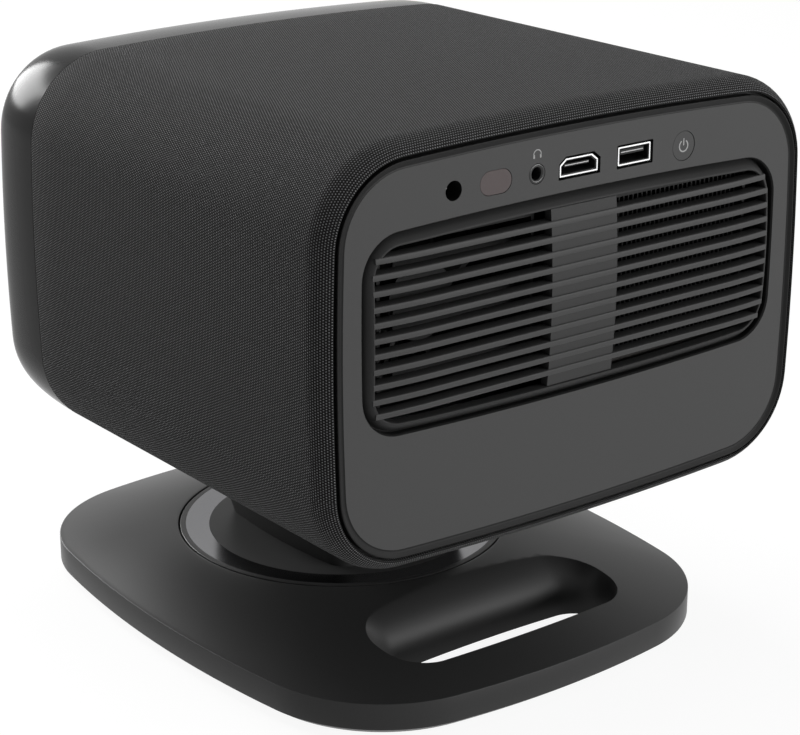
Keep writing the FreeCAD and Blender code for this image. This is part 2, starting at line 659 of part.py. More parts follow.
def make_base_fittings():
    cover = base_prism(COVER_SEAT + COVER_GAP, BASE_FOOT_GAP, COVER_Z)
    cuts = [slot_solid(SLOT_WALL + COVER_GAP)]
    head_seat = BASE_FOOT_GAP + COVER_SCREW_HEAD_T
    screws = []
    for x, y in COVER_BOSSES:
        cuts.append(upright(COVER_SCREW_R + RUN_FIT, x, y, 0, COVER_Z + CUT))
        cuts.append(upright(COVER_SCREW_HEAD_R + COVER_GAP, x, y, 0, head_seat))
        screws.append(screw(x, y, head_seat, COVER_SCREW_R, COVER_SCREW_HEAD_R,
                            COVER_SCREW_HEAD_T, COVER_SCREW_LENGTH))
    for name, (x, y) in FOOT_PLACES.items():
        pad = upright(FOOT_R, x, y, 0, FOOT_T)
        cuts.append(pad)
        rim = [e for e in pad.Edges if abs(e.BoundBox.ZMax) < 1e-6]
        parts[name] = pad.makeFillet(FOOT_EDGE_R, rim)
    parts["base_cover"] = cover.cut(cuts)
    parts["base_screws"] = Part.makeCompound(screws)

    weight = base_prism(COVER_SEAT + WEIGHT_GAP, COVER_Z, COVER_Z + WEIGHT_T)
    slot_side = box(-BASE_HALF_WIDTH, BASE_HALF_WIDTH, SLOT_FRONT_Y - SLOT_WALL - WEIGHT_GAP,
                    BASE_BACK_Y, 0, BASE_CROWN_Z)
    hub_side = upright(RETAINER_R + WEIGHT_GAP, 0, 0, 0, BASE_CROWN_Z)
    posts = [upright(BOSS_R + CUT, x, y, 0, BASE_CROWN_Z) for x, y in COVER_BOSSES]
    parts["base_weight"] = weight.cut([slot_side, hub_side] + posts)

    glide_r = TABLE_R - GLIDE_INSET
    parts["glide_ring"] = tube(glide_r, glide_r - GLIDE_WIDTH, V(0, 0, WELL_Z),
                               V(0, 0, WELL_Z + GLIDE_T))
    bore = HUB_R + RUN_FIT
    sleeve = tube(BUSH_R, bore, V(0, 0, WELL_UNDERSIDE), V(0, 0, WELL_Z))
    collar = tube(BUSH_R + BUSH_COLLAR, bore, V(0, 0, WELL_Z), V(0, 0, WELL_Z + GLIDE_T))
    parts["pivot_bush"] = fuse([sleeve, collar])
    parts["friction_washer"] = tube(RETAINER_R - WASHER_INSET, bore,
                                    V(0, 0, WELL_UNDERSIDE - WASHER_T),
                                    V(0, 0, WELL_UNDERSIDE))


# --- Turntable ------------------------------------------------------------------------
def make_turntable():
    retainer_top = WELL_UNDERSIDE - WASHER_T - RUN_FIT
    trim_seat = BASE_CROWN_Z - TRIM_T
    disc = fuse([upright(TABLE_R, 0, 0, TABLE_BOTTOM, trim_seat),
                 upright(TRIM_INNER_R, 0, 0, TABLE_BOTTOM, TABLE_TOP),
                 upright(HUB_R, 0, 0, retainer_top, TABLE_BOTTOM)])
    head_seat = TABLE_BOTTOM + NECK_SCREW_HEAD_T + 2 * RUN_FIT
    cuts = [upright(HUB_BORE_R, 0, 0, 0, BASE_CROWN_Z)]
    neck_screws = []
    for x, y in neck_screw_places():
        cuts.append(upright(NECK_SCREW_HEAD_R + CLEAR, x, y, 0, head_seat))
        cuts.append(upright(NECK_SCREW_R + RUN_FIT, x, y, 0, BASE_CROWN_Z))
        neck_screws.append(screw(x, y, head_seat, NECK_SCREW_R, NECK_SCREW_HEAD_R,
                                 NECK_SCREW_HEAD_T, NECK_SCREW_LENGTH))
    pilots = []
    hub_screws = []
    middle_r = (HUB_R + HUB_BORE_R) / 2
    for k in range(HUB_SCREW_COUNT):
        angle = math.radians(90 + 360 * k / HUB_SCREW_COUNT)
        x, y = middle_r * math.cos(angle), middle_r * math.sin(angle)
        pilots.append(upright(HUB_SCREW_R + RUN_FIT, x, y, 0,
                              retainer_top + HUB_SCREW_GRIP + THREAD_BOTTOM))
        hub_screws.append(screw(x, y, retainer_top - RETAINER_T, HUB_SCREW_R,
                                HUB_SCREW_HEAD_R, HUB_SCREW_HEAD_T,
                                RETAINER_T + HUB_SCREW_GRIP))
    parts["turntable_disc"] = disc.cut(cuts + pilots)
    parts["neck_screws"] = Part.makeCompound(neck_screws)
    parts["hub_screws"] = Part.makeCompound(hub_screws)
    retainer = tube(RETAINER_R, HUB_BORE_R, V(0, 0, retainer_top - RETAINER_T),
                    V(0, 0, retainer_top))
    parts["pivot_retainer"] = retainer.cut(pilots)

    profile = polygon([V(TRIM_INNER_R, 0, trim_seat), V(TABLE_R, 0, trim_seat),
                       V(TABLE_R, 0, BASE_CROWN_Z), V(TABLE_R - TRIM_FLAT, 0, BASE_CROWN_Z),
                       V(TRIM_INNER_R, 0, TABLE_TOP)])
    parts["turntable_trim"] = Part.Face(profile).revolve(V(0, 0, 0), V(0, 0, 1), 360)


# --- Neck and tilt hinge --------------------------------------------------------------
def neck_screw_places():
    x, y = NECK_HALF_WIDTH - NECK_SCREW_FROM_SIDE, NECK_HALF_DEPTH - NECK_SCREW_FROM_END
    return [(-x, -y), (-x, y), (x, -y), (x, y)]


def make_neck():
    shoulder = TABLE_TOP + NECK_SHOULDER
    stages = ((0, 0), (0.18, 0.25), (0.6, 0.85), (1, 1))
    column = Part.makeLoft([neck_wire(TABLE_TOP + NECK_SHOULDER * rise, NECK_FLARE * grow)
                            for rise, grow in stages], True, False)
    rim = [e for e in column.Edges if e.BoundBox.ZMin > shoulder - 1e-3]
    column = column.makeFillet(NECK_EDGE_R, rim)
    arms = rod(HINGE_R, V(-CHEEK_OUTER, 0, HINGE_Z), V(CHEEK_OUTER, 0, HINGE_Z))
    arms = arms.fuse(box(-CHEEK_OUTER, CHEEK_OUTER, -HINGE_R, HINGE_R,
                         shoulder - NECK_EDGE_R, HINGE_Z))
    saddle_r = HINGE_R + SADDLE_GAP
    saddle = rod(saddle_r, V(-CHEEK_INNER, 0, HINGE_Z), V(CHEEK_INNER, 0, HINGE_Z))
    saddle = saddle.fuse(box(-CHEEK_INNER, CHEEK_INNER, -saddle_r, saddle_r, HINGE_Z,
                             HINGE_Z + saddle_r + CUT))
    bore = rod(PIN_R, V(-CHEEK_OUTER - CUT, 0, HINGE_Z), V(CHEEK_OUTER + CUT, 0, HINGE_Z))
    thread_top = TABLE_BOTTOM + NECK_SCREW_HEAD_T + NECK_SCREW_LENGTH + THREAD_BOTTOM
    threads = [upright(NECK_SCREW_R + RUN_FIT, x, y, 0, thread_top)
               for x, y in neck_screw_places()]
    parts["neck"] = fuse([column, arms]).cut([saddle, bore] + threads)

    pin = rod(PIN_R, V(-CHEEK_OUTER, 0, HINGE_Z), V(CHEEK_OUTER, 0, HINGE_Z))
    head = rod(PIN_HEAD_R, V(-CHEEK_OUTER - PIN_HEAD_T, 0, HINGE_Z),
               V(-CHEEK_OUTER, 0, HINGE_Z))
    parts["hinge_pin"] = fuse([pin, head])
    parts["hinge_cap"] = rod(PIN_HEAD_R, V(CHEEK_OUTER, 0, HINGE_Z),
                             V(CHEEK_OUTER + PIN_HEAD_T, 0, HINGE_Z))
    for name, side in (("hinge_washer_left", 1), ("hinge_washer_right", -1)):
        parts[name] = tube(HINGE_R - HINGE_WASHER_INSET, PIN_R,
                           V(side * (CHEEK_INNER - HINGE_WASHER_T), 0, HINGE_Z),
                           V(side * CHEEK_INNER, 0, HINGE_Z))


def bracket_pad(grow, z0, z1):
    wire = cushion(BRACKET_HALF_WIDTH + grow, BRACKET_HALF_DEPTH + grow,
                   BRACKET_CORNER_R + grow, BRACKET_BOW_R, BRACKET_BOW_R,
                   lambda a, b: V(a, b, z0))
    return prism(wire, V(0, 0, z1 - z0))


def make_bracket():
    pad_bottom = BODY_BOTTOM - BRACKET_T
    pad = bracket_pad(0, pad_bottom, INNER_BOTTOM)
    pad = pad.cut(body_prism(FABRIC_T, FRONT_SEAM_Y, PANEL_FACE_Y))
    half = KNUCKLE_HALF_WIDTH
    knuckle = rod(HINGE_R, V(-half, 0, HINGE_Z), V(half, 0, HINGE_Z))
    web = box(-half, half, -HINGE_R, HINGE_R, HINGE_Z, BODY_BOTTOM - BRACKET_T / 2)
    bore = rod(PIN_R + RUN_FIT, V(-half - CUT, 0, HINGE_Z), V(half + CUT, 0, HINGE_Z))
    screw_end = pad_bottom + BRACKET_SCREW_COVER
    threads = [upright(BRACKET_SCREW_R + RUN_FIT, x, y, screw_end - THREAD_BOTTOM,
                       INNER_BOTTOM) for x, y in BRACKET_SCREWS]
    parts["tilt_bracket"] = fuse([pad, knuckle, web]).cut([bore] + threads)
    plate_top = INNER_BOTTOM + MOUNT_T
    parts["bracket_screws"] = Part.makeCompound(
        [screw(x, y, plate_top, BRACKET_SCREW_R, BRACKET_SCREW_HEAD_R,
               BRACKET_SCREW_HEAD_T, screw_end - plate_top) for x, y in BRACKET_SCREWS])


# --- Body frame, fabric and front ring ------------------------------------------------
def make_shell():
    frame = rounded_body(FABRIC_T, FRONT_SEAM_Y, BODY_END_Y - FABRIC_T, ROLL_R - FABRIC_T)
    skin_core = frame.cut(body_prism(LIP_INSET, PANEL_BACK, BODY_END_Y + CUT))
    step = FRONT_SEAM_Y + FRAME_STEP
    frame = skin_core.fuse(body_prism(SPIGOT_INSET, FRONT_PANEL_BACK, step))
    frame = frame.cut([body_prism(FRAME_INNER, step, FLANGE_FRONT),
                       body_prism(SPIGOT_INSET + SPIGOT_T, FRONT_PANEL_BACK - CUT, step + CUT),
                       body_prism(FRAME_INNER + FLANGE_WIDTH, FLANGE_FRONT - CUT,
                                  PANEL_BACK + CUT),
                       grille_prism(-INSERT_FLANGE - CLEAR, FLANGE_FRONT - CUT,
                                    PANEL_BACK + CUT)])
    additions = []
    holes = []
    for side in (-1, 1):
        seat = V(side * SPEAKER_SEAT, SPEAKER_Y, SPEAKER_Z)
        wall = V(side * (BODY_WIDTH / 2 - FRAME_INNER / 2), SPEAKER_Y, SPEAKER_Z)
        outside = V(side * BODY_WIDTH, SPEAKER_Y, SPEAKER_Z)
        ring = tube(SPEAKER_R, SPEAKER_R - SPEAKER_SEAT_WIDTH, seat, wall)
        additions.append(ring.common(body_prism(FABRIC_T, FRONT_SEAM_Y, PANEL_BACK)))
        holes.append(rod(SPEAKER_R - SPEAKER_SEAT_WIDTH, seat, outside))
    for x, y in BOARD_POSTS:
        additions.append(upright(BOARD_POST_R, x, y, BOARD_Z, INNER_TOP + FRAME_T / 2))
    for x, y in PORT_POSTS:
        additions.append(upright(PORT_POST_R, x, y, PORT_BOARD_TOP, INNER_TOP + FRAME_T / 2))
    for x, y in BRACKET_SCREWS:
        holes.append(upright(BRACKET_SCREW_R + 2 * RUN_FIT, x, y, BODY_BOTTOM - CUT,
                             INNER_BOTTOM + CUT))
    parts["body_frame"] = frame.fuse(additions).cut(holes)

    sleeve = rounded_body(0, FRONT_SEAM_Y, BODY_END_Y, ROLL_R)
    opening = body_prism(ROLL_WIDTH, FRONT_SEAM_Y - CUT, BODY_END_Y + CUT)
    pad_hole = bracket_pad(CLEAR, BODY_BOTTOM - CUT, INNER_BOTTOM)
    parts["fabric_sleeve"] = sleeve.cut([skin_core, opening, pad_hole])

    turns = [math.radians(a) for a in (0, 20, 38, 54, 68, 80, 90)]
    hoop = Part.makeLoft([body_wire(RING_TAPER * (1 - math.cos(t)),
                                    FRONT_SEAM_Y - RING_DEPTH * math.sin(t))
                          for t in turns], True, False)
    parts["front_ring"] = hoop.cut([body_prism(RING_WALL, LIP_BACK, FRONT_SEAM_Y + CUT),
                                    body_prism(RING_TAPER + RING_LIP, FRONT_Y - CUT,
                                               LIP_BACK + CUT)])


# --- Front panel, lens and focusing drive ---------------------------------------------
def on_axis(y):
    return V(0, y, LENS_Z)


def on_screw(y):
    return V(SCREW_X, y, LENS_Z)


def lens_glass(radius, front_y, thickness, sag):
    """Biconvex lens on the optical axis."""
    back_y = front_y + thickness
    ball_r = (radius ** 2 + sag ** 2) / (2 * sag)
    front_ball = Part.makeSphere(ball_r, on_axis(front_y + ball_r))
    back_ball = Part.makeSphere(ball_r, on_axis(back_y - ball_r))
    blank = rod(radius, on_axis(front_y - CUT), on_axis(back_y + CUT))
    return blank.common(front_ball).common(back_ball)


def make_front():
    panel = body_prism(RING_WALL + FRONT_PANEL_GAP, LIP_BACK, FRONT_PANEL_BACK)
    seat = FRONT_PANEL_BACK - LENS_WINDOW_T
    port = rod(LENS_PORT_R, on_axis(LIP_BACK - CUT), on_axis(FRONT_PANEL_BACK + CUT))
    ledge = rod(LENS_WINDOW_R, on_axis(seat), on_axis(FRONT_PANEL_BACK + CUT))
    sensor = prism(stadium(SENSOR_HALF_WIDTH, SENSOR_HALF_HEIGHT,
                           lambda a, b: V(SENSOR_X + a, LIP_BACK, LENS_Z + b)),
                   V(0, FRONT_PANEL_T, 0))
    parts["front_panel"] = panel.cut([port, ledge, sensor])
    parts["lens_window"] = rod(LENS_WINDOW_R, on_axis(seat), on_axis(FRONT_PANEL_BACK))
    parts["sensor_window"] = sensor


def make_lens():
    barrel = tube(BARREL_R, BARREL_INNER, on_axis(BARREL_FRONT_Y), on_axis(ENGINE_FRONT_Y))
    flange = tube(BARREL_R + BARREL_FLANGE, BARREL_INNER,
                  on_axis(ENGINE_FRONT_Y - BARREL_FLANGE_T), on_axis(ENGINE_FRONT_Y))
    slot_half = LUG_HALF + LUG_SLOT_GAP
    slot = box(0, BARREL_R + CUT, LUG_FRONT_Y - FOCUS_TRAVEL - LUG_SLOT_GAP,
               LUG_FRONT_Y + LUG_LENGTH + LUG_SLOT_GAP, LENS_Z - slot_half,
               LENS_Z + slot_half)
    motor_room = rod(MOTOR_R + CLEAR, on_screw(MOTOR_FRONT_Y), on_screw(ENGINE_FRONT_Y))
    parts["lens_barrel"] = fuse([barrel, flange]).cut([slot, motor_room])
    parts["rear_lens"] = lens_glass(BARREL_INNER, ENGINE_FRONT_Y - REAR_LENS_SETBACK,
                                    REAR_LENS_T, REAR_LENS_SAG)

    glass_r = CARRIER_R - CARRIER_T
    carrier = tube(CARRIER_R, glass_r, on_axis(CARRIER_FRONT_Y),
                   on_axis(CARRIER_FRONT_Y + CARRIER_LENGTH))
    lug = box(CARRIER_R - CARRIER_T / 2, SCREW_X + LUG_REACH, LUG_FRONT_Y,
              LUG_FRONT_Y + LUG_LENGTH, LENS_Z - LUG_HALF, LENS_Z + LUG_HALF)
    nut = rod(SCREW_R + RUN_FIT, on_screw(LUG_FRONT_Y - CUT),
              on_screw(LUG_FRONT_Y + LUG_LENGTH + CUT))
    parts["lens_carrier"] = fuse([carrier, lug]).cut(nut)
    parts["front_lens"] = lens_glass(glass_r, CARRIER_FRONT_Y + FRONT_LENS_SETBACK,
                                     FRONT_LENS_T, FRONT_LENS_SAG)

    motor = rod(MOTOR_R, on_screw(MOTOR_FRONT_Y), on_screw(ENGINE_FRONT_Y))
    shaft_end = MOTOR_FRONT_Y + MOTOR_SHAFT
    parts["focus_motor"] = motor.cut(rod(SCREW_R + RUN_FIT, on_screw(MOTOR_FRONT_Y - CUT),
                                         on_screw(shaft_end + CLEAR)))
    parts["focus_screw"] = rod(SCREW_R, on_screw(LUG_FRONT_Y - FOCUS_TRAVEL - SCREW_OVERRUN),
                               on_screw(shaft_end))


# --- Light engine and its cradle ------------------------------------------------------
def make_engine():
    bottom, top = LENS_Z - ENGINE_DROP, LENS_Z + ENGINE_RISE
    half = ENGINE_HALF_WIDTH
    y0, y1 = ENGINE_FRONT_Y, ENGINE_BACK_Y
    engine = box(-half, half, y0, y1, bottom, top)
    shelf = box(-half - CUT, half + CUT, y0 + ENGINE_STEP_BACK, y1 + CUT, top - ENGINE_STEP,
                top + CUT)
    notch = box(-half - CUT, -half + ENGINE_NOTCH, y1 - ENGINE_STEP_BACK, y1 + CUT,
                bottom + CRADLE_EDGE, top + CUT)
    light_path = rod(BARREL_INNER - CARRIER_T, on_axis(y0 - CUT),
                     on_axis(y0 + LIGHT_PATH_DEPTH))
    parts["light_engine"] = engine.cut([shelf, notch, light_path])

    floor = INNER_BOTTOM
    plate = box(-half - CRADLE_MARGIN, half + CRADLE_MARGIN, y0 - CRADLE_MARGIN,
                y1 - CRADLE_MARGIN / 2, floor - RUN_FIT, floor + MOUNT_T)
    walls = []
    for side in (-1, 1):
        for width, z0 in ((CRADLE_WALL, floor), (CRADLE_LEDGE, bottom - CRADLE_WALL)):
            x0, x1 = sorted((side * (half - width), side * half))
            walls.append(box(x0, x1, y0, y1 - CRADLE_MARGIN, z0, bottom))
    window = box(-half - CUT, half + CUT, y0 + CRADLE_EDGE, y1 - CRADLE_MARGIN - CRADLE_EDGE,
                 floor + CRADLE_EDGE, bottom - CRADLE_EDGE)
    holes = [upright(BRACKET_SCREW_R + 2 * RUN_FIT, x, y, floor - CUT, floor + MOUNT_T + CUT)
             for x, y in BRACKET_SCREWS]
    mount = fuse([plate] + walls).cut([window] + holes)
    parts["engine_mount"] = mount.common(body_prism(FRAME_INNER, FRONT_SEAM_Y, FLANGE_FRONT))


# --- Socket panel and grille ----------------------------------------------------------
def hdmi_outline(inset, y):
    """Connector outline: a rectangle with its two upper corners cut off."""
    a, b = HDMI_WIDTH / 2 - inset, HDMI_HEIGHT / 2 - inset
    cut_a, cut_b = HDMI_CHAMFER_X, HDMI_CHAMFER_Z
    pts = [(-a, -b), (a, -b), (a, b - cut_b), (a - cut_a, b), (-a + cut_a, b), (-a, b - cut_b)]
    return polygon([V(HDMI_X + p, y, PORT_Z + q) for p, q in pts])


def usb_block(inset, y0, y1):
    half_w, half_h = USB_WIDTH / 2 - inset, USB_HEIGHT / 2 - inset
    return box(USB_X - half_w, USB_X + half_w, y0, y1, PORT_Z - half_h, PORT_Z + half_h)


def ir_prism(y0, y1):
    wire = stadium(IR_HALF_WIDTH, IR_HALF_HEIGHT, lambda a, b: V(IR_X + a, y0, PORT_Z + b))
    return prism(wire, V(0, y1 - y0, 0))


def make_panel():
    plate = body_prism(PANEL_INSET, PANEL_BACK, PANEL_FACE_Y)
    rim_y = PANEL_FACE_Y + PANEL_RIM_HEIGHT
    rim = body_prism(PANEL_INSET, PANEL_FACE_Y, rim_y)
    dish = Part.makeLoft([body_wire(PANEL_INSET + PANEL_RIM_FLAT, rim_y),
                          body_wire(PANEL_INSET + PANEL_RIM_WIDTH, PANEL_FACE_Y)], True, True)
    y0, y1 = PANEL_BACK - CUT, PANEL_FACE_Y + CUT
    cuts = [grille_prism(0, y0, y1),
            rod(DC_R, V(DC_X, y0, PORT_Z), V(DC_X, y1, PORT_Z)),
            ir_prism(y0, y1),
            rod(PHONE_RING_R, V(PHONE_X, y0, PORT_Z), V(PHONE_X, y1, PORT_Z)),
            prism(hdmi_outline(-SHELL_RELIEF, y0), V(0, y1 - y0, 0)),
            usb_block(-SHELL_RELIEF, y0, y1),
            rod(POWER_R + BUTTON_GAP, V(POWER_X, y0, PORT_Z - POWER_DROP),
                V(POWER_X, y1, PORT_Z - POWER_DROP))]
    parts["rear_panel"] = plate.fuse(rim.cut(dish)).cut(cuts)
    parts["ir_window"] = ir_prism(PANEL_BACK, PANEL_FACE_Y - IR_SETBACK)


def crest_line(edge, border, flat, drop, sink, point):
    """Half of the grille's crowned outline, from its middle to its edge.

    It runs straight as far as flat, falls by drop on an arc up to the border, and rolls
    over the border down to the edge. point turns (distance, Y) into a place."""
    top = PANEL_FACE_Y + GRILLE_CROWN - sink
    low = PANEL_FACE_Y - GRILLE_EDGE_SINK - sink
    middle = (flat + border) / 2
    lines = []
    if flat > 0:
        lines.append(Part.LineSegment(point(0, top), point(flat, top)).toShape())
    lines.append(Part.Arc(point(flat, top), point(middle, top - drop / 4),
                          point(border, top - drop)).toShape())
    shoulder = point(border + 0.72 * (edge - border),
                     (top - drop + low) / 2 + BORDER_SHOULDER)
    lines.append(Part.Arc(point(border, top - drop), shoulder, point(edge, low)).toShape())
    return lines


def crowned_face(half_size, flat, drop, sink, point):
    """Cross-section of the crowned block in one direction, as a face."""
    edge = half_size - GRILLE_GAP
    half = half_size + INSERT_FLANGE + CUT
    low = PANEL_FACE_Y - GRILLE_EDGE_SINK - sink
    edges = []
    for side in (-1, 1):
        def at(s, y):
            return point(side * s, y)
        edges += crest_line(edge, edge - GRILLE_BORDER, flat, drop, sink, at)
        edges.append(Part.LineSegment(at(edge, low), at(half, low)).toShape())
        edges.append(Part.LineSegment(at(half, low), at(half, INSERT_BACK)).toShape())
    edges.append(Part.LineSegment(point(-half, INSERT_BACK), point(half, INSERT_BACK)).toShape())
    return Part.Face(Part.Wire(Part.__sortEdges__(edges)))


def crowned_block(sink):
    """Block whose outer face bulges towards its middle in both directions."""
    half_x = GRILLE_HALF_WIDTH + INSERT_FLANGE + CUT
    half_z = GRILLE_HALF_HEIGHT + INSERT_FLANGE + CUT
    flat_x = GRILLE_HALF_WIDTH - GRILLE_GAP - GRILLE_BORDER - GRILLE_CURVE_X
    across = crowned_face(GRILLE_HALF_WIDTH, flat_x, GRILLE_DROP_X, sink,
                          lambda s, y: V(s, y, GRILLE_Z - half_z))
    upward = crowned_face(GRILLE_HALF_HEIGHT, 0.0, GRILLE_DROP_Z, sink,
                          lambda s, y: V(-half_x, y, GRILLE_Z + s))
    return across.extrude(V(0, 0, 2 * half_z)).common(upward.extrude(V(2 * half_x, 0, 0)))


def make_grille():
    face_limit = PANEL_FACE_Y + GRILLE_CROWN + CUT
    window = GRILLE_GAP + GRILLE_BORDER
    body = crowned_block(0).common(grille_prism(GRILLE_GAP, INSERT_BACK, face_limit))
    insert = body.fuse(grille_prism(-INSERT_FLANGE, INSERT_BACK, PANEL_BACK))

    hole = grille_prism(window, INSERT_BACK - CUT, face_limit)
    column = box(-COLUMN_HALF_WIDTH, COLUMN_HALF_WIDTH, INSERT_BACK - 2 * CUT, face_limit,
                 GRILLE_Z - GRILLE_HALF_HEIGHT, GRILLE_Z + GRILLE_HALF_HEIGHT)
    slat_back = PANEL_FACE_Y + GRILLE_CROWN - SLAT_DEPTH
    lowest = GRILLE_Z - (SLAT_COUNT - 1) * SLAT_PITCH / 2
    slats = []
    for k in range(SLAT_COUNT):
        z = lowest + k * SLAT_PITCH
        slats.append(box(-GRILLE_HALF_WIDTH, GRILLE_HALF_WIDTH, slat_back, face_limit,
                         z - SLAT_T / 2, z + SLAT_T / 2))
    gaps = hole.cut([column] + slats)

    skin = grille_prism(window, PANEL_BACK, face_limit).common(column).cut(slats)
    skin = skin.cut(crowned_block(COLUMN_SINK))
    parts["grille"] = insert.cut([gaps, skin])


# --- Sockets and button ---------------------------------------------------------------
def on_board(x, half, depth, top):
    """Block of a socket that stands on the port board behind the panel."""
    return box(x - half, x + half, PANEL_BACK - depth, PANEL_BACK, PORT_BOARD_TOP,
               PORT_Z + top)


def make_round_sockets():
    dc = on_board(DC_X, DC_BODY_HALF, SOCKET_DEPTH, DC_BODY_HALF)
    bore = rod(DC_R, V(DC_X, PANEL_BACK - DC_BORE_DEPTH, PORT_Z),
               V(DC_X, PANEL_BACK + CUT, PORT_Z))
    pin = rod(DC_PIN_R, V(DC_X, PANEL_BACK - DC_BORE_DEPTH - CUT, PORT_Z),
              V(DC_X, PANEL_BACK - DC_PIN_SETBACK, PORT_Z))
    parts["dc_jack"] = dc.cut(bore).fuse(pin)

    phone = on_board(PHONE_X, PHONE_BODY_HALF, SOCKET_DEPTH, PHONE_BODY_HALF - CLEAR)
    collar = rod(PHONE_RING_R, V(PHONE_X, PANEL_BACK - CUT, PORT_Z),
                 V(PHONE_X, PANEL_FACE_Y - PHONE_SETBACK, PORT_Z))
    bore = rod(PHONE_R, V(PHONE_X, PANEL_BACK - PHONE_BORE_DEPTH, PORT_Z),
               V(PHONE_X, PANEL_FACE_Y + CUT, PORT_Z))
    parts["headphone_jack"] = fuse([phone, collar]).cut(bore)

    parts["ir_receiver"] = box(IR_X - RECEIVER_HALF, IR_X + RECEIVER_HALF,
                               PANEL_BACK - RECEIVER_DEPTH, PANEL_BACK - RUN_FIT,
                               PORT_BOARD_TOP, PORT_Z + RECEIVER_HALF)


def make_flat_sockets():
    back = SHELL_FACE - SHELL_DEPTH
    hollow_back = back + SHELL_FLOOR
    tongue_back = hollow_back - CUT
    tongue_front = SHELL_FACE - TONGUE_SETBACK
    tongue_low = PORT_Z + TONGUE_RISE
    foot_front = PANEL_BACK - FLANGE_T

    shell = prism(hdmi_outline(0, back), V(0, SHELL_DEPTH, 0))
    hollow = prism(hdmi_outline(SHELL_T, hollow_back), V(0, SHELL_DEPTH, 0))
    tongue = box(HDMI_X - HDMI_TONGUE_HALF, HDMI_X + HDMI_TONGUE_HALF, tongue_back,
                 tongue_front, tongue_low, tongue_low + HDMI_TONGUE_T)
    foot = box(HDMI_X - HDMI_TONGUE_HALF, HDMI_X + HDMI_TONGUE_HALF, back, foot_front,
               PORT_BOARD_TOP, PORT_Z - HDMI_HEIGHT / 2 + SHELL_T / 2)
    parts["hdmi_socket"] = fuse([shell.cut(hollow), tongue, foot])

    shell = usb_block(0, back, SHELL_FACE)
    hollow = usb_block(SHELL_T, hollow_back, SHELL_FACE + CUT)
    half_w = USB_WIDTH / 2 - TONGUE_MARGIN
    tongue = box(USB_X - half_w, USB_X + half_w, tongue_back, tongue_front, tongue_low,
                 tongue_low + USB_TONGUE_T)
    foot = box(USB_X - half_w, USB_X + half_w, back, foot_front, PORT_BOARD_TOP,
               PORT_Z - USB_HEIGHT / 2 + SHELL_T / 2)
    parts["usb_socket"] = fuse([shell.cut(hollow), tongue, foot])


def make_power_button():
    z = PORT_Z - POWER_DROP

    def along(y):
        return V(POWER_X, y, z)

    flange_y = PANEL_BACK - RUN_FIT
    flange_a = POWER_R + BUTTON_FLANGE
    cap = rod(POWER_R, along(flange_y - RUN_FIT), along(PANEL_FACE_Y - RUN_FIT))
    flange = box(POWER_X - flange_a, POWER_X + flange_a, flange_y - BUTTON_FLANGE_T, flange_y,
                 z - BUTTON_FLANGE_HALF, z + BUTTON_FLANGE_HALF)
    stem = rod(STEM_R, along(flange_y - STEM_LENGTH), along(flange_y - CUT))
    parts["power_button"] = fuse([cap, flange, stem])
    switch_y = flange_y - BUTTON_FLANGE_T - BUTTON_TRAVEL - CLEAR
    switch = box(POWER_X - SWITCH_HALF, POWER_X + SWITCH_HALF, switch_y - SWITCH_DEPTH,
                 switch_y, PORT_BOARD_TOP, z + SWITCH_HALF)
    bore = rod(STEM_R + BUTTON_GAP, along(switch_y - STEM_LENGTH + CUT), along(switch_y + CUT))
    parts["power_switch"] = switch.cut(bore)


# --- Boards ---------------------------------------------------------------------------
def make_boards():
    parts["port_board"] = box(POWER_X - PORT_BOARD_MARGIN, DC_X + PORT_BOARD_MARGIN,
                              PORT_BOARD_FRONT_Y, PORT_BOARD_BACK_Y,
                              PORT_BOARD_TOP - BOARD_T, PORT_BOARD_TOP)

    half_w = MAIN_BOARD_HALF_WIDTH
    under = BOARD_Z - BOARD_T
    board = box(-half_w, half_w, MAIN_BOARD_FRONT_Y, MAIN_BOARD_BACK_Y, under, BOARD_Z)
    middle_y = MAIN_BOARD_FRONT_Y + 0.35 * (MAIN_BOARD_BACK_Y - MAIN_BOARD_FRONT_Y)
    rear_y = MAIN_BOARD_BACK_Y - CHIP_HALF * 2
    memory_x = 2 * CHIP_HALF + COIL_HALF
    chips = [(0, middle_y, CHIP_HALF, CHIP_HALF, CHIP_T),
             (-memory_x, middle_y, CHIP_HALF / 2, CHIP_HALF / 2, MEMORY_T),
             (memory_x, middle_y, CHIP_HALF / 2, CHIP_HALF / 2, MEMORY_T),
             (-memory_x, rear_y, COIL_HALF, COIL_HALF, COIL_T),
             (-memory_x + 3 * COIL_HALF, rear_y, COIL_HALF, COIL_HALF, COIL_T),
             (memory_x - COIL_HALF, rear_y, PLUG_HALF, COIL_HALF, CHIP_T)]
    blocks = [box(x - a, x + a, y - b, y + b, under - height, under + BOARD_T / 2)
              for x, y, a, b, height in chips]
    parts["main_board"] = fuse([board] + blocks)


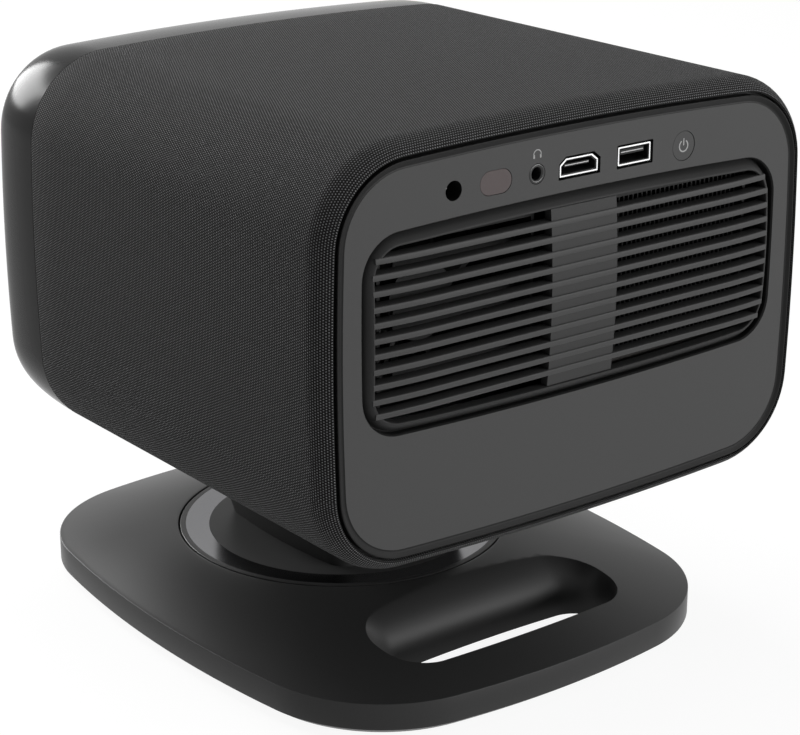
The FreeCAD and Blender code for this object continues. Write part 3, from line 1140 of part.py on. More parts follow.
# --- Fans, heat sink and duct ---------------------------------------------------------
def make_fan(name, x):
    """Axial fan: square frame with a motor sleeve on four struts, and a bladed rotor."""
    y0, y1 = FAN_FRONT_Y, FAN_FRONT_Y + FAN_T
    half = FAN_SIZE / 2
    bore_r = half - FAN_RIM

    def at(y):
        return V(x, y, GRILLE_Z)

    corner = half - FAN_HOLE_FROM_EDGE
    frame = box(x - half, x + half, y0, y1, GRILLE_Z - half, GRILLE_Z + half)
    frame = frame.cut([rod(bore_r, at(y0 - CUT), at(y1 + CUT))]
                      + [rod(FAN_HOLE_R, V(x + i, y0 - CUT, GRILLE_Z + j),
                             V(x + i, y1 + CUT, GRILLE_Z + j))
                         for i in (-corner, corner) for j in (-corner, corner)])
    strut_y = y0 + FAN_STRUT_T
    sleeve_end = y0 + FAN_SLEEVE_LENGTH
    stator = rod(FAN_HUB_R - FAN_PIN_R, at(y0), at(strut_y))
    sleeve = rod(FAN_SLEEVE_R, at(y0), at(sleeve_end))
    reach = bore_r + FAN_RIM / 2
    strut = box(x - reach, x + reach, y0, strut_y, GRILLE_Z - FAN_STRUT_WIDTH / 2,
                GRILLE_Z + FAN_STRUT_WIDTH / 2)
    cross = strut.copy()
    cross.rotate(at(y0), V(0, 1, 0), 90)
    frame = fuse([frame, stator, sleeve, strut, cross])
    parts["fan_frame_" + name] = frame.cut(rod(FAN_PIN_R + RUN_FIT, at(y0 - CUT),
                                               at(y1 + CUT)))

    cup_y0, cup_y1 = strut_y + FAN_END_GAP, y1 - FAN_END_GAP
    cup = rod(FAN_HUB_R, at(cup_y0), at(cup_y1))
    cup = cup.cut(rod(FAN_SLEEVE_R + FAN_END_GAP, at(cup_y0 - CUT),
                      at(sleeve_end + FAN_END_GAP)))
    pin = rod(FAN_PIN_R, at(y0 + CLEAR), at(cup_y1 - CLEAR))
    ring = tube(bore_r - FAN_TIP_GAP, FAN_HUB_R - CUT, at(cup_y0 + CLEAR), at(cup_y1 - CLEAR))
    middle = (cup_y0 + cup_y1) / 2
    blades = []
    for k in range(FAN_BLADES):
        blade = box(x - FAN_BLADE_T / 2, x + FAN_BLADE_T / 2, middle - FAN_BLADE_CHORD / 2,
                    middle + FAN_BLADE_CHORD / 2, GRILLE_Z, GRILLE_Z + half)
        blade.rotate(at(middle), V(0, 0, 1), FAN_PITCH_ANGLE)
        blade.rotate(at(middle), V(0, 1, 0), 360.0 * k / FAN_BLADES)
        blades.append(blade.common(ring))
    parts["fan_rotor_" + name] = fuse([cup, pin] + blades)


def duct_shell(x, y0, y1):
    """Four thin walls between a fan and the grille."""
    a, b, wall = SINK_HALF_WIDTH, SINK_HALF_HEIGHT, SINK_WALL
    outer = box(x - a, x + a, y0, y1, GRILLE_Z - b, GRILLE_Z + b)
    return outer.cut(box(x - a + wall, x + a - wall, y0 - CUT, y1 + CUT, GRILLE_Z - b + wall,
                         GRILLE_Z + b - wall))


def make_sink_and_duct():
    y0, y1 = FAN_FRONT_Y + FAN_T, INSERT_BACK
    a, b, wall = SINK_HALF_WIDTH, SINK_HALF_HEIGHT, SINK_WALL
    count = int((2 * (a - wall) - FIN_PITCH / 2) / FIN_PITCH)
    first = -FAN_X - (count - 1) * FIN_PITCH / 2
    fins = []
    for k in range(count):
        x = first + k * FIN_PITCH
        fins.append(box(x - FIN_T / 2, x + FIN_T / 2, y0, y1 - FIN_SET_BACK,
                        GRILLE_Z - b + wall / 2, GRILLE_Z + b - wall / 2))
    parts["heat_sink"] = fuse([duct_shell(-FAN_X, y0, y1)] + fins)

    baffle_y = y0 + SINK_DEPTH / 2
    baffles = []
    for k in (-2, 0, 2):
        z = GRILLE_Z + k * b / 3
        baffles.append(box(FAN_X - a + wall / 2, FAN_X + a * 0.62, baffle_y,
                           baffle_y + BAFFLE_T, z - b / 9, z + b / 9))
    parts["intake_duct"] = fuse([duct_shell(FAN_X, y0, y1)] + baffles)


def make_heat_pipes():
    lane = FAN_FRONT_Y + FAN_T + PIPE_LANE
    pipe_z = GRILLE_Z - SINK_HALF_HEIGHT - PIPE_R
    pipe_end = -FAN_X - SINK_HALF_WIDTH + PIPE_R / 2
    swing = PIPE_BEND_R * (1 - math.sqrt(0.5))
    pipes = []
    for k in range(2):
        x = PIPE_FIRST_X + k * PIPE_SPACING
        y = lane + k * PIPE_SPACING
        start = V(x, ENGINE_BACK_Y - PIPE_GRIP, pipe_z)
        bend_in = V(x, y - PIPE_BEND_R, pipe_z)
        bend_out = V(x - PIPE_BEND_R, y, pipe_z)
        path = Part.Wire([Part.LineSegment(start, bend_in).toShape(),
                          Part.Arc(bend_in, V(x - swing, y - swing, pipe_z),
                                   bend_out).toShape(),
                          Part.LineSegment(bend_out, V(pipe_end, y, pipe_z)).toShape()])
        ring = Part.Wire(Part.Circle(start, V(0, 1, 0), PIPE_R).toShape())
        pipes.append(path.makePipeShell([ring], True, False))
    parts["heat_pipes"] = Part.makeCompound(pipes)
    block = box(PIPE_FIRST_X - SPREADER_MARGIN, PIPE_FIRST_X + PIPE_SPACING + SPREADER_MARGIN,
                ENGINE_BACK_Y - SPREADER_LENGTH, ENGINE_BACK_Y, pipe_z - PIPE_R - CUT,
                LENS_Z - ENGINE_DROP)
    parts["heat_spreader"] = block.cut(pipes)


# --- Speakers -------------------------------------------------------------------------
def make_speaker(name, side):
    way = V(-side, 0, 0)

    def at(depth):
        return V(side * SPEAKER_SEAT, SPEAKER_Y, SPEAKER_Z) + way * depth

    flange = rod(SPEAKER_R, at(0), at(SPEAKER_FLANGE_T))
    basket = Part.makeCone(SPEAKER_R - SPEAKER_RIM, MAGNET_R, BASKET_DEPTH - CUT, at(CUT), way)
    magnet = rod(MAGNET_R, at(BASKET_DEPTH - CUT), at(SPEAKER_DEPTH))
    cone = Part.makeCone(SPEAKER_R - 2 * SPEAKER_RIM - CUT, CONE_INNER_R, CONE_DEPTH, at(0),
                         way)
    dust_cap = Part.makeSphere(DUST_CAP_R, at(CONE_DEPTH)).common(
        rod(DUST_CAP_R + CUT, at(0), at(CONE_DEPTH + CLEAR)))
    driver = fuse([flange, basket, magnet]).cut(cone)
    parts["speaker_" + name] = fuse([driver, dust_cap])


make_base()
make_base_fittings()
make_turntable()
make_neck()
make_bracket()
make_shell()
make_front()
make_lens()
make_engine()
make_panel()
make_grille()
make_round_sockets()
make_flat_sockets()
make_power_button()
make_boards()
make_fan("left", FAN_X)
make_fan("right", -FAN_X)
make_sink_and_duct()
make_heat_pipes()
make_speaker("left", 1)
make_speaker("right", -1)

os.makedirs("parts", exist_ok=True)
for name, shape in sorted(parts.items()):
    shape.exportStep(os.path.join("parts", name + ".step"))
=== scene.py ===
import bpy
import bmesh
import math
from mathutils import Matrix, Vector


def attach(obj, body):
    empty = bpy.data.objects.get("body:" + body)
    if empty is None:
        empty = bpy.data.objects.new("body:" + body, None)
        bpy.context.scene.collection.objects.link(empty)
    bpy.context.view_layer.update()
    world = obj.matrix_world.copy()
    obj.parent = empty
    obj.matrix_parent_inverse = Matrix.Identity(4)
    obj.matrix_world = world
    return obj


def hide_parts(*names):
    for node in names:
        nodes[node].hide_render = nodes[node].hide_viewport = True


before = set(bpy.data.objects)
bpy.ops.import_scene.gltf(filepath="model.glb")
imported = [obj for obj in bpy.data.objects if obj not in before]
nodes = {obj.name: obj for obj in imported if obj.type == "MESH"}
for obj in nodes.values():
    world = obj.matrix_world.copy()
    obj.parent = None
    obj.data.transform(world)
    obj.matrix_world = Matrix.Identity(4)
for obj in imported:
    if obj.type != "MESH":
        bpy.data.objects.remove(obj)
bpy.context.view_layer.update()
MM = 0.001


# --- Viewpoint, table top and studio light ---------------------------------------------
# The projector stands on a plain white table, seen from behind and a little above. Large
# soft boxes hang beside the camera, beyond the projector at table height and high beyond it.
def in_scene(name, data):
    """A new object, linked into the scene."""
    thing = bpy.data.objects.new(name, data)
    bpy.context.scene.collection.objects.link(thing)
    return thing


view_right = Vector((-0.7928, 0.6095, 0.0))
view_back = Vector((0.5767, 0.7501, 0.3236))
view_up = view_back.cross(view_right).normalized()
view_place = Vector((0.4378, 0.5989, 0.3388))
camera = in_scene("camera", bpy.data.cameras.new("camera"))
camera.matrix_world = Matrix(
    list(zip(view_right, view_up, view_back, view_place)) + [(0, 0, 0, 1)])
camera.data.sensor_width = 36
camera.data.lens = 102.06
camera.data.shift_x = 0.0095
camera.data.shift_y = -0.0263
camera.data.clip_start = 0.01
bpy.context.scene.camera = camera
bpy.context.scene.view_settings.view_transform = "Standard"


def node_of(tree, kind, **values):
    """A new node; keywords set its properties, or its inputs when they start with in_."""
    node = tree.nodes.new(kind)
    for key, value in values.items():
        if key.startswith("in_"):
            index = key[3:]
            socket = node.inputs[int(index) if index.isdigit() else index.replace("_", " ")]
            if isinstance(value, bpy.types.NodeSocket):
                tree.links.new(value, socket)
            else:
                socket.default_value = value
        else:
            setattr(node, key, value)
    return node


def calc(tree, operation, first, second=0.0, third=0.0):
    """Result of one sum on two or three values."""
    return node_of(tree, "ShaderNodeMath", operation=operation, in_0=first, in_1=second,
                   in_2=third).outputs[0]


def blank_material(name):
    """A new material, its node tree and its output node."""
    material = bpy.data.materials.new(name)
    material.use_nodes = True
    material.node_tree.nodes.clear()
    tree = material.node_tree
    return material, tree, node_of(tree, "ShaderNodeOutputMaterial")


def looked_at(tree):
    """1 for what is seen straight, mirrored or through glass, 0 for the light it gives."""
    path = node_of(tree, "ShaderNodeLightPath").outputs
    seen = calc(tree, "MAXIMUM", path["Is Camera Ray"], path["Is Glossy Ray"])
    return calc(tree, "MAXIMUM", seen, path["Is Transmission Ray"])


# The table lights the projector as pale paint does. Looked at, it is white, and a thin
# layer of paint keeps the projector's shadow on it.
table_white, tree, output = blank_material("table white")
paint = node_of(tree, "ShaderNodeBsdfDiffuse", in_Color=(0.8, 0.8, 0.8, 1))
shadow_layer = node_of(tree, "ShaderNodeBsdfDiffuse", in_Color=(0.13, 0.13, 0.13, 1))
glow = node_of(tree, "ShaderNodeEmission", in_Color=(1, 1, 1, 1), in_Strength=0.92)
white = node_of(tree, "ShaderNodeAddShader", in_0=shadow_layer.outputs[0],
                in_1=glow.outputs[0])
pick = node_of(tree, "ShaderNodeMixShader", in_0=looked_at(tree), in_1=paint.outputs[0],
               in_2=white.outputs[0])
tree.links.new(pick.outputs[0], output.inputs["Surface"])
reach = 9.0
table_mesh = bpy.data.meshes.new("table")
table_mesh.from_pydata([(-reach, -reach, 0), (reach, -reach, 0), (reach, reach, 0),
                        (-reach, reach, 0)], [], [(0, 1, 2, 3)])
table_mesh.materials.append(table_white)
table = in_scene("table", table_mesh)

world = bpy.data.worlds.new("studio")
bpy.context.scene.world = world
world.use_nodes = True
tree = world.node_tree
room_light = 0.12
level = calc(tree, "MULTIPLY", looked_at(tree), 1 - room_light)
level = calc(tree, "ADD", level, room_light)
tree.nodes["Background"].inputs["Color"].default_value = (1, 1, 1, 1)
tree.links.new(level, tree.nodes["Background"].inputs["Strength"])


def soft_box(name, place, aim, size, watts):
    """Rectangular lamp that hangs at a place and faces its aim."""
    lamp = bpy.data.lights.new(name, "AREA")
    lamp.shape = "RECTANGLE"
    lamp.size, lamp.size_y = size
    lamp.energy = watts
    away = (Vector(place) - Vector(aim)).normalized()
    turn = away.to_track_quat("Z", "Y").to_matrix().to_4x4()
    in_scene(name, lamp).matrix_world = Matrix.Translation(place) @ turn


soft_box("box_beside_camera", (-1.0, 1.7, 0.35), (0, 0.1, 0.13), (1.3, 0.6), 22.5)
soft_box("box_beyond", (0.3, -1.6, 0.63), (0, 0, 0.13), (0.82, 0.54), 21)
soft_box("box_high", (0.1, -0.25, 1.55), (0, 0, 0.15), (1.2, 0.9), 9.5)


# --- Base plate ------------------------------------------------------------------------
# A heavy moulding in semi-gloss grey plastic: an upright edge over a tapered foot, a top
# that swells towards the turntable, and a carrying slot whose front wall rolls over.
def shader_group(name, inputs, outputs):
    """Node group with named inputs (name, kind, value) and outputs (name, kind)."""
    group = bpy.data.node_groups.new(name, "ShaderNodeTree")
    for label, kind, value in inputs:
        socket = group.interface.new_socket(label, in_out="INPUT", socket_type=kind)
        if value is not None:
            socket.default_value = value
    for label, kind in outputs:
        group.interface.new_socket(label, in_out="OUTPUT", socket_type=kind)
    return group, node_of(group, "NodeGroupInput"), node_of(group, "NodeGroupOutput")


number, colour, vector = "NodeSocketFloat", "NodeSocketColor", "NodeSocketVector"
grain, given, result = shader_group(
    "fine grain", [("Scale", number, 900.0), ("Color", colour, (0.1, 0.1, 0.1, 1)),
                   ("Mottle", number, 0.06), ("Roughness", number, 0.5),
                   ("Gloss Spread", number, 0.06), ("Depth", number, 0.1)],
    [("Color", colour), ("Roughness", number), ("Normal", vector)])
where = node_of(grain, "ShaderNodeTexCoord").outputs["Object"]
speck = node_of(grain, "ShaderNodeTexNoise", in_Vector=where, in_Scale=given.outputs["Scale"],
                in_Detail=3.0).outputs[0]
cloud = node_of(grain, "ShaderNodeTexNoise", in_Vector=where, in_Scale=28.0,
                in_Detail=2.0).outputs[0]
shift = calc(grain, "MULTIPLY", calc(grain, "SUBTRACT", speck, 0.5), given.outputs["Mottle"])
tinted = node_of(grain, "ShaderNodeVectorMath", operation="SCALE", in_0=given.outputs["Color"],
                 in_Scale=calc(grain, "ADD", shift, 1.0))
gloss = calc(grain, "MULTIPLY", calc(grain, "SUBTRACT", cloud, 0.5),
             given.outputs["Gloss Spread"])
dents = node_of(grain, "ShaderNodeBump", in_Strength=given.outputs["Depth"],
                in_Distance=0.00008, in_Height=speck)
grain.links.new(tinted.outputs[0], result.inputs["Color"])
grain.links.new(calc(grain, "ADD", gloss, given.outputs["Roughness"]),
                result.inputs["Roughness"])
grain.links.new(dents.outputs[0], result.inputs["Normal"])


def finish(name, tone, roughness, metallic=0.0, specular=0.5, scale=900.0, mottle=0.08,
           spread=0.05, depth=0.12, lacquer=0.0, tint=(1, 1, 1)):
    """Moulded, painted or plated surface; tone is its grey level and tint colours it."""
    material, tree, output = blank_material(name)
    base = tuple(tone * t for t in tint) + (1,)
    look = node_of(tree, "ShaderNodeGroup", node_tree=grain, in_Scale=scale, in_Color=base,
                   in_Mottle=mottle, in_Roughness=roughness, in_Gloss_Spread=spread,
                   in_Depth=depth)
    surface = node_of(tree, "ShaderNodeBsdfPrincipled", in_Base_Color=look.outputs["Color"],
                      in_Roughness=look.outputs["Roughness"], in_Metallic=metallic,
                      in_Specular_IOR_Level=specular, in_Normal=look.outputs["Normal"],
                      in_Coat_Weight=lacquer, in_Coat_Roughness=0.12)
    tree.links.new(surface.outputs[0], output.inputs["Surface"])
    return material


def bowed_outline(half_a, half_b, corner_r, side_r, end_r, steps=(14, 16, 18)):
    """Points (a, b, normal a, normal b, length along) round a rectangle with bowed sides."""
    ax, by = half_a - side_r, half_b - end_r
    d1, d2 = side_r - corner_r, end_r - corner_r
    span = math.hypot(ax, by)
    along = (d1 * d1 - d2 * d2 + span * span) / (2 * span)
    off = math.sqrt(d1 * d1 - along * along)
    cx = ax - along * ax / span - off * by / span
    cy = along * by / span - off * ax / span
    t1 = math.atan2(cy, cx - ax)
    t2 = math.atan2(cy - by, cx)
    pi = math.pi
    arcs = [(ax, 0, side_r, -t1, t1, steps[0]),
            (cx, cy, corner_r, t1, t2, steps[1]),
            (0, by, end_r, t2, pi - t2, steps[2]),
            (-cx, cy, corner_r, pi - t2, pi - t1, steps[1]),
            (-ax, 0, side_r, pi - t1, pi + t1, steps[0]),
            (-cx, -cy, corner_r, pi + t1, pi + t2, steps[1]),
            (0, -by, end_r, pi + t2, 2 * pi - t2, steps[2]),
            (cx, -cy, corner_r, 2 * pi - t2, 2 * pi - t1, steps[1])]
    points, length = [], 0.0
    for mx, my, radius, start, end, count in arcs:
        for i in range(count):
            t = start + (end - start) * i / count
            points.append((mx + radius * math.cos(t), my + radius * math.sin(t), math.cos(t),
                           math.sin(t), length + radius * (t - start)))
        length += radius * (end - start)
    return points, length


def outward(mesh):
    """Merges doubles and turns every face outwards."""
    work = bmesh.new()
    work.from_mesh(mesh)
    bmesh.ops.remove_doubles(work, verts=work.verts, dist=1e-7)
    bmesh.ops.recalc_face_normals(work, faces=work.faces)
    work.to_mesh(mesh)
    work.free()


def skin(name, rings, closed=False, map_lengths=None, map_heights=None):
    """Closed mesh through rings of points in metres, either capped or joined end to end."""
    count = len(rings[0])
    verts = [tuple(point) for ring in rings for point in ring]
    faces, corners = [], []
    for j in range(len(rings) if closed else len(rings) - 1):
        k = (j + 1) % len(rings)
        for i in range(count):
            n = (i + 1) % count
            faces.append((j * count + i, j * count + n, k * count + n, k * count + i))
            corners += [(i, j), (i + 1, j), (i + 1, j + 1), (i, j + 1)]
    if not closed:
        faces.append(tuple(reversed(range(count))))
        faces.append(tuple((len(rings) - 1) * count + i for i in range(count)))
    mesh = bpy.data.meshes.new(name)
    mesh.from_pydata(verts, [], faces)
    if map_lengths:
        layer = mesh.uv_layers.new(name="cloth")
        for index, (i, j) in enumerate(corners):
            layer.data[index].uv = (map_lengths[i], map_heights[j])
    outward(mesh)
    return mesh


def join_meshes(name, meshes):
    """One mesh that holds several."""
    work = bmesh.new()
    for mesh in meshes:
        work.from_mesh(mesh)
    joined = bpy.data.meshes.new(name)
    work.to_mesh(joined)
    work.free()
    return joined


def carve(mesh, cutters):
    """The mesh with the cutter meshes taken away."""
    blank = in_scene("blank", mesh)
    tools = [in_scene("tool", cutter) for cutter in cutters]
    for tool in tools:
        step = blank.modifiers.new("cut", "BOOLEAN")
        step.operation = "DIFFERENCE"
        step.solver = "EXACT"
        step.object = tool
    bpy.context.view_layer.update()
    finished = bpy.data.meshes.new_from_object(
        blank.evaluated_get(bpy.context.evaluated_depsgraph_get()))
    for item in tools + [blank]:
        bpy.data.objects.remove(item)
    finished.name = mesh.name
    return finished


def shade(mesh, sharp):
    """Smooth shading that breaks at edges sharper than this many degrees."""
    mesh.polygons.foreach_set("use_smooth", [True] * len(mesh.polygons))
    mesh.set_sharp_from_angle(angle=math.radians(sharp))


def place_piece(name, mesh, material, body, replaces=(), sharp=35):
    """Puts a finished mesh in the scene as a piece of the projector."""
    outward(mesh)
    if material:
        mesh.materials.append(material)
    shade(mesh, sharp)
    piece = in_scene(name, mesh)
    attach(piece, body)
    if replaces:
        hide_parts(*replaces)


base_grey = finish("semi-gloss base grey", 0.038, 0.4, specular=0.2, scale=1100, depth=0.05,
                   spread=0.03)
base_y, foot_gap, edge_top, crown_z, chamfer, swell = 14.0, 1.5, 13.0, 21.0, 0.3, 1.45
well_r, well_z, well_underside, wall, bearing_r = 57.8, 16.15, 13.65, 2.8, 16.05
lip_r = well_r + 0.8
base_line, _ = bowed_outline(half_a=87.5, half_b=106.5, corner_r=48.0, side_r=420.0,
                             end_r=300.0, steps=(26, 26, 20))


def base_ring(inset, z):
    """Level ring that follows the plate's edge, this far inside it."""
    return [Vector((a - inset * na, base_y + b - inset * nb, z)) * MM
            for a, b, na, nb, _ in base_line]


def crown_ring(t, inset=chamfer, edge_z=edge_top, top_z=crown_z):
    """Ring on the swelling top, from the edge (t = 0) to the lip by the turntable (t = 1)."""
    ring = []
    for a, b, na, nb, _ in base_line:
        edge = Vector((a - inset * na, base_y + b - inset * nb))
        flat = edge.lerp(edge.normalized() * lip_r, t)
        z = edge_z + (top_z - edge_z) * (1 - (1 - t) ** swell)
        ring.append(Vector((flat.x, flat.y, z)) * MM)
    return ring


def well_ring(radius, z):
    """Level circle round the turntable, its points in line with those of the crown."""
    ring = []
    for a, b, na, nb, _ in base_line:
        way = Vector((a - chamfer * na, base_y + b - chamfer * nb)).normalized() * radius
        ring.append(Vector((way.x, way.y, z)) * MM)
    return ring


slot_front, slot_back, slot_half, slot_depth = 61.6, 103.0, 50.0, 20.5
front_roll, back_roll, end_roll, roll_begin = 13.5, 1.0, 5.0, 8


def slot_ring(turn, widen):
    """Outline of the carrying slot; turn runs from roll_begin to 90 degrees underneath."""
    start, begin = math.sin(math.radians(roll_begin)), math.cos(math.radians(roll_begin))
    roll = (math.sin(math.radians(turn)) - start) / (1 - start)
    front = slot_front + front_roll * roll - widen
    back = slot_back - back_roll * roll + widen
    half_a, half_b = slot_half - end_roll * roll + widen, (back - front) / 2
    line, _ = bowed_outline(half_a, half_b, corner_r=0.84 * half_b, side_r=1.68 * half_b,
                            end_r=half_a ** 2 / (0.3 * half_b), steps=(6, 18, 26))
    z = crown_z - slot_depth * (begin - math.cos(math.radians(turn))) / begin
    return [Vector((a, (front + back) / 2 + b, z)) * MM for a, b, na, nb, _ in line]


def post(x, y, radius, z0, z1, count=32):
    """Upright cylinder."""
    spokes = [2 * math.pi * i / count for i in range(count)]
    return skin("post", [[Vector((x + radius * math.cos(t), y + radius * math.sin(t), z)) * MM
                          for t in spokes] for z in (z0, z1)])


screw_spots = {"Front": (66.0, -46.0), "Middle": (73.0, 40.0), "Back": (24.0, 109.45)}
screw_places = [(side * x, y) for side in (-1, 1) for x, y in screw_spots.values()]
edge_profile = ((3.7, foot_gap), (3.5, foot_gap + 0.12), (0.1, 4.05), (0.0, 4.3), (0.0, 12.7),
                (0.06, 12.88), (0.2, 12.98))
well_profile = ((lip_r, crown_z), (well_r + 0.2, crown_z - 0.01),
                (well_r + 0.03, crown_z - 0.08), (well_r, crown_z - 0.25), (well_r, well_z),
                (bearing_r, well_z), (bearing_r, foot_gap))
crown_steps, lip_start = 24, 0.985
base_rings = [base_ring(inset, z) for inset, z in edge_profile]
base_rings += [crown_ring(i / crown_steps) for i in range(crown_steps)]
base_rings += [crown_ring(lip_start)] + [well_ring(radius, z) for radius, z in well_profile]
rim_width, hollow_edge, hollow_lip, slot_wall = 6.2, 10.2, 18.15, 2.2
hollow_rings = [base_ring(rim_width, 0.5), base_ring(rim_width, hollow_edge)]
hollow_rings += [crown_ring(i / 12, rim_width, hollow_edge, crown_z - wall)
                 for i in range(1, 11)]
hollow_rings += [well_ring(well_r + wall, z) for z in (hollow_lip, well_underside)]
slot_turns = [roll_begin + (90 - roll_begin) * i / 26 for i in range(27)]
hollow = carve(skin("hollow", hollow_rings), [
    skin("slot_walls", [slot_ring(turn, slot_wall) for turn in slot_turns]),
    join_meshes("bosses", [post(x, y, 3.6, 3.5, 20) for x, y in screw_places])])
base_mesh = carve(skin("base_plate", base_rings, closed=True), [
    hollow, skin("slot", [slot_ring(turn, 0.0) for turn in slot_turns]),
    join_meshes("threads", [post(x, y, 1.25, 0.5, 9.1) for x, y in screw_places])])
place_piece("base_plate", base_mesh, base_grey, "base", ["base_shell"], sharp=28)


# --- Underside and turntable bearing ---------------------------------------------------
# A matt cover is held by six cross-head screws and carries four glued rubber feet. Above it
# lie the iron ballast plate, the acetal glide ring and the bush that the turntable turns in.
def coat(material, *names):
    """Gives parts that keep their shape their real finish."""
    for name in names:
        for holder in nodes[name].material_slots:
            holder.material = material


def turned(name, profile, x, other, count=64, axis="y"):
    """Turned part about the line along Y at (x, z), or along Z at (x, y); other is that z
    or y, and the profile is (radius, along)."""
    spokes = [2 * math.pi * i / count for i in range(count)]
    rings = []
    for radius, along in profile:
        across = [(x + radius * math.cos(t), other + radius * math.sin(t)) for t in spokes]
        rings.append([Vector((a, along, b) if axis == "y" else (a, b, along)) * MM
                      for a, b in across])
    return skin(name, rings, closed=True)


def geometry_tree(name, inputs):
    """Geometry node tree with named inputs, its input node and its output node."""
    tree = bpy.data.node_groups.new(name, "GeometryNodeTree")
    for label, kind, value in inputs:
        socket = tree.interface.new_socket(label, in_out="INPUT", socket_type=kind)
        if value is not None:
            socket.default_value = value
    tree.interface.new_socket("Geometry", in_out="OUTPUT", socket_type="NodeSocketGeometry")
    return tree, node_of(tree, "NodeGroupInput"), node_of(tree, "NodeGroupOutput")


def grow(name, tree, values):
    """Plain mesh of what the tree makes; values are given by input name."""
    holder = in_scene(name, bpy.data.meshes.new(name))
    modifier = holder.modifiers.new("make", "NODES")
    modifier.node_group = tree
    for item in tree.interface.items_tree:
        if item.in_out == "INPUT" and item.name in values:
            modifier[item.identifier] = values[item.name]
    bpy.context.view_layer.update()
    mesh = bpy.data.meshes.new_from_object(
        holder.evaluated_get(bpy.context.evaluated_depsgraph_get()))
    bpy.data.objects.remove(holder)
    mesh.name = name
    return mesh


plated = finish("zinc plated steel", 0.5, 0.3, metallic=1.0, scale=400)
screw_profile = [(0.01, 9.9), (1.0, 9.9), (1.2, 9.4), (1.2, 2.7), (2.8, 2.7), (2.8, 1.75),
                 (2.7, 1.58), (2.55, 1.52), (0.01, 1.5)]
recess = [skin("recess", [[Vector((a * k, b * k, z)) * MM for a, b in (
    (u, v), (-u, v), (-u, -v), (u, -v))] for z, k in ((1.3, 1.0), (2.2, 0.5))])
    for u, v in ((1.5, 0.3), (0.3, 1.5))]
screw_mesh = carve(turned("cover_screw", screw_profile, 0, 0, 28, "z"), recess)
shade(screw_mesh, 35)
screw_pattern = in_scene("screw_pattern", screw_mesh)
spot_inputs = [(f"{label} {way}", number, distance * MM)
               for label, spot in screw_spots.items() for way, distance in zip("XY", spot)]
screw_tree, given, result = geometry_tree("cover screws", [
    ("Screw", "NodeSocketObject", None), *spot_inputs,
    ("Finish", "NodeSocketMaterial", None)])
pattern = node_of(screw_tree, "GeometryNodeObjectInfo", in_Object=given.outputs["Screw"])
spots = node_of(screw_tree, "GeometryNodeJoinGeometry")
for label in screw_spots:
    for side in (-1.0, 1.0):
        across = calc(screw_tree, "MULTIPLY", given.outputs[label + " X"], side)
        spot = node_of(screw_tree, "ShaderNodeCombineXYZ", in_X=across,
                       in_Y=given.outputs[label + " Y"])
        point = node_of(screw_tree, "GeometryNodeMeshLine", in_Count=1,
                        in_Start_Location=spot.outputs[0])
        screw_tree.links.new(point.outputs[0], spots.inputs[0])
turn_by = node_of(screw_tree, "FunctionNodeRandomValue", data_type="FLOAT", in_Seed=5,
                  in_3=3.0)
angles = node_of(screw_tree, "ShaderNodeCombineXYZ", in_Z=turn_by.outputs[1])
driven = node_of(screw_tree, "GeometryNodeInstanceOnPoints", in_Points=spots.outputs[0],
                 in_Instance=pattern.outputs["Geometry"], in_Rotation=angles.outputs[0])
solid = node_of(screw_tree, "GeometryNodeRealizeInstances", in_Geometry=driven.outputs[0])
dressed = node_of(screw_tree, "GeometryNodeSetMaterial", in_Geometry=solid.outputs[0],
                  in_Material=given.outputs["Finish"])
screw_tree.links.new(dressed.outputs[0], result.inputs["Geometry"])
screws_mesh = grow("cover_screws", screw_tree, {"Screw": screw_pattern, "Finish": plated})
bpy.data.objects.remove(screw_pattern)
place_piece("cover_screws", screws_mesh, None, "base", ["base_screws"])

coat(finish("matt cover", 0.022, 0.65, specular=0.25, scale=700, depth=0.3), "base_cover")
coat(finish("foot rubber", 0.012, 0.85, specular=0.2, scale=500, depth=0.3),
     "foot_front_left", "foot_front_right", "foot_back_left", "foot_back_right")
coat(finish("bare iron", 0.1, 0.6, metallic=0.8, scale=200, mottle=0.4), "base_weight")
acetal = finish("natural acetal", 0.65, 0.4, tint=(1, 0.98, 0.92))
coat(acetal, "glide_ring", "friction_washer")
coat(finish("sintered bronze", 0.5, 0.5, metallic=1.0, tint=(1, 0.72, 0.38), mottle=0.4),
     "pivot_bush")


# --- Turntable -------------------------------------------------------------------------
# A satin painted disc that turns in the base. Its rim is flat, and the bevel inside the rim
# is turned in bright dark metal, so that it flashes where it faces a lamp.
bevel_metal, tree, output = blank_material("turned dark bevel")
look = node_of(tree, "ShaderNodeGroup", node_tree=grain, in_Scale=500.0,
               in_Color=(0.2, 0.2, 0.206, 1), in_Mottle=0.06)
surface = node_of(tree, "ShaderNodeBsdfPrincipled", in_Base_Color=look.outputs["Color"],
                  in_Roughness=0.18, in_Metallic=1.0, in_Specular_Tint=(0.7, 0.7, 0.7, 1))
tree.links.new(surface.outputs[0], output.inputs["Surface"])
rim_r, flat_r, bevel_r = 57.1, 55.1, 46.9
trim_profile = [(bevel_r, 19.2), (rim_r, 19.2), (rim_r, 20.85), (rim_r - 0.15, 21.0),
                (flat_r, 21.0), (flat_r - 0.15, 20.96), (bevel_r + 0.15, 20.42),
                (bevel_r, 20.36)]
trim_mesh = turned("bevel_ring", trim_profile, 0, 0, 256, "z")
place_piece("bevel_ring", trim_mesh, bevel_metal, "turntable", ["turntable_trim"],
            sharp=25)
trim_mesh.materials.append(base_grey)
for face in trim_mesh.polygons:
    if face.center.xy.length > (flat_r - 0.05) * MM:
        face.material_index = 1
coat(finish("satin turntable", 0.07, 0.42, specular=0.08, scale=1500, depth=0.04),
     "turntable_disc")
coat(plated, "pivot_retainer", "hub_screws", "neck_screws")


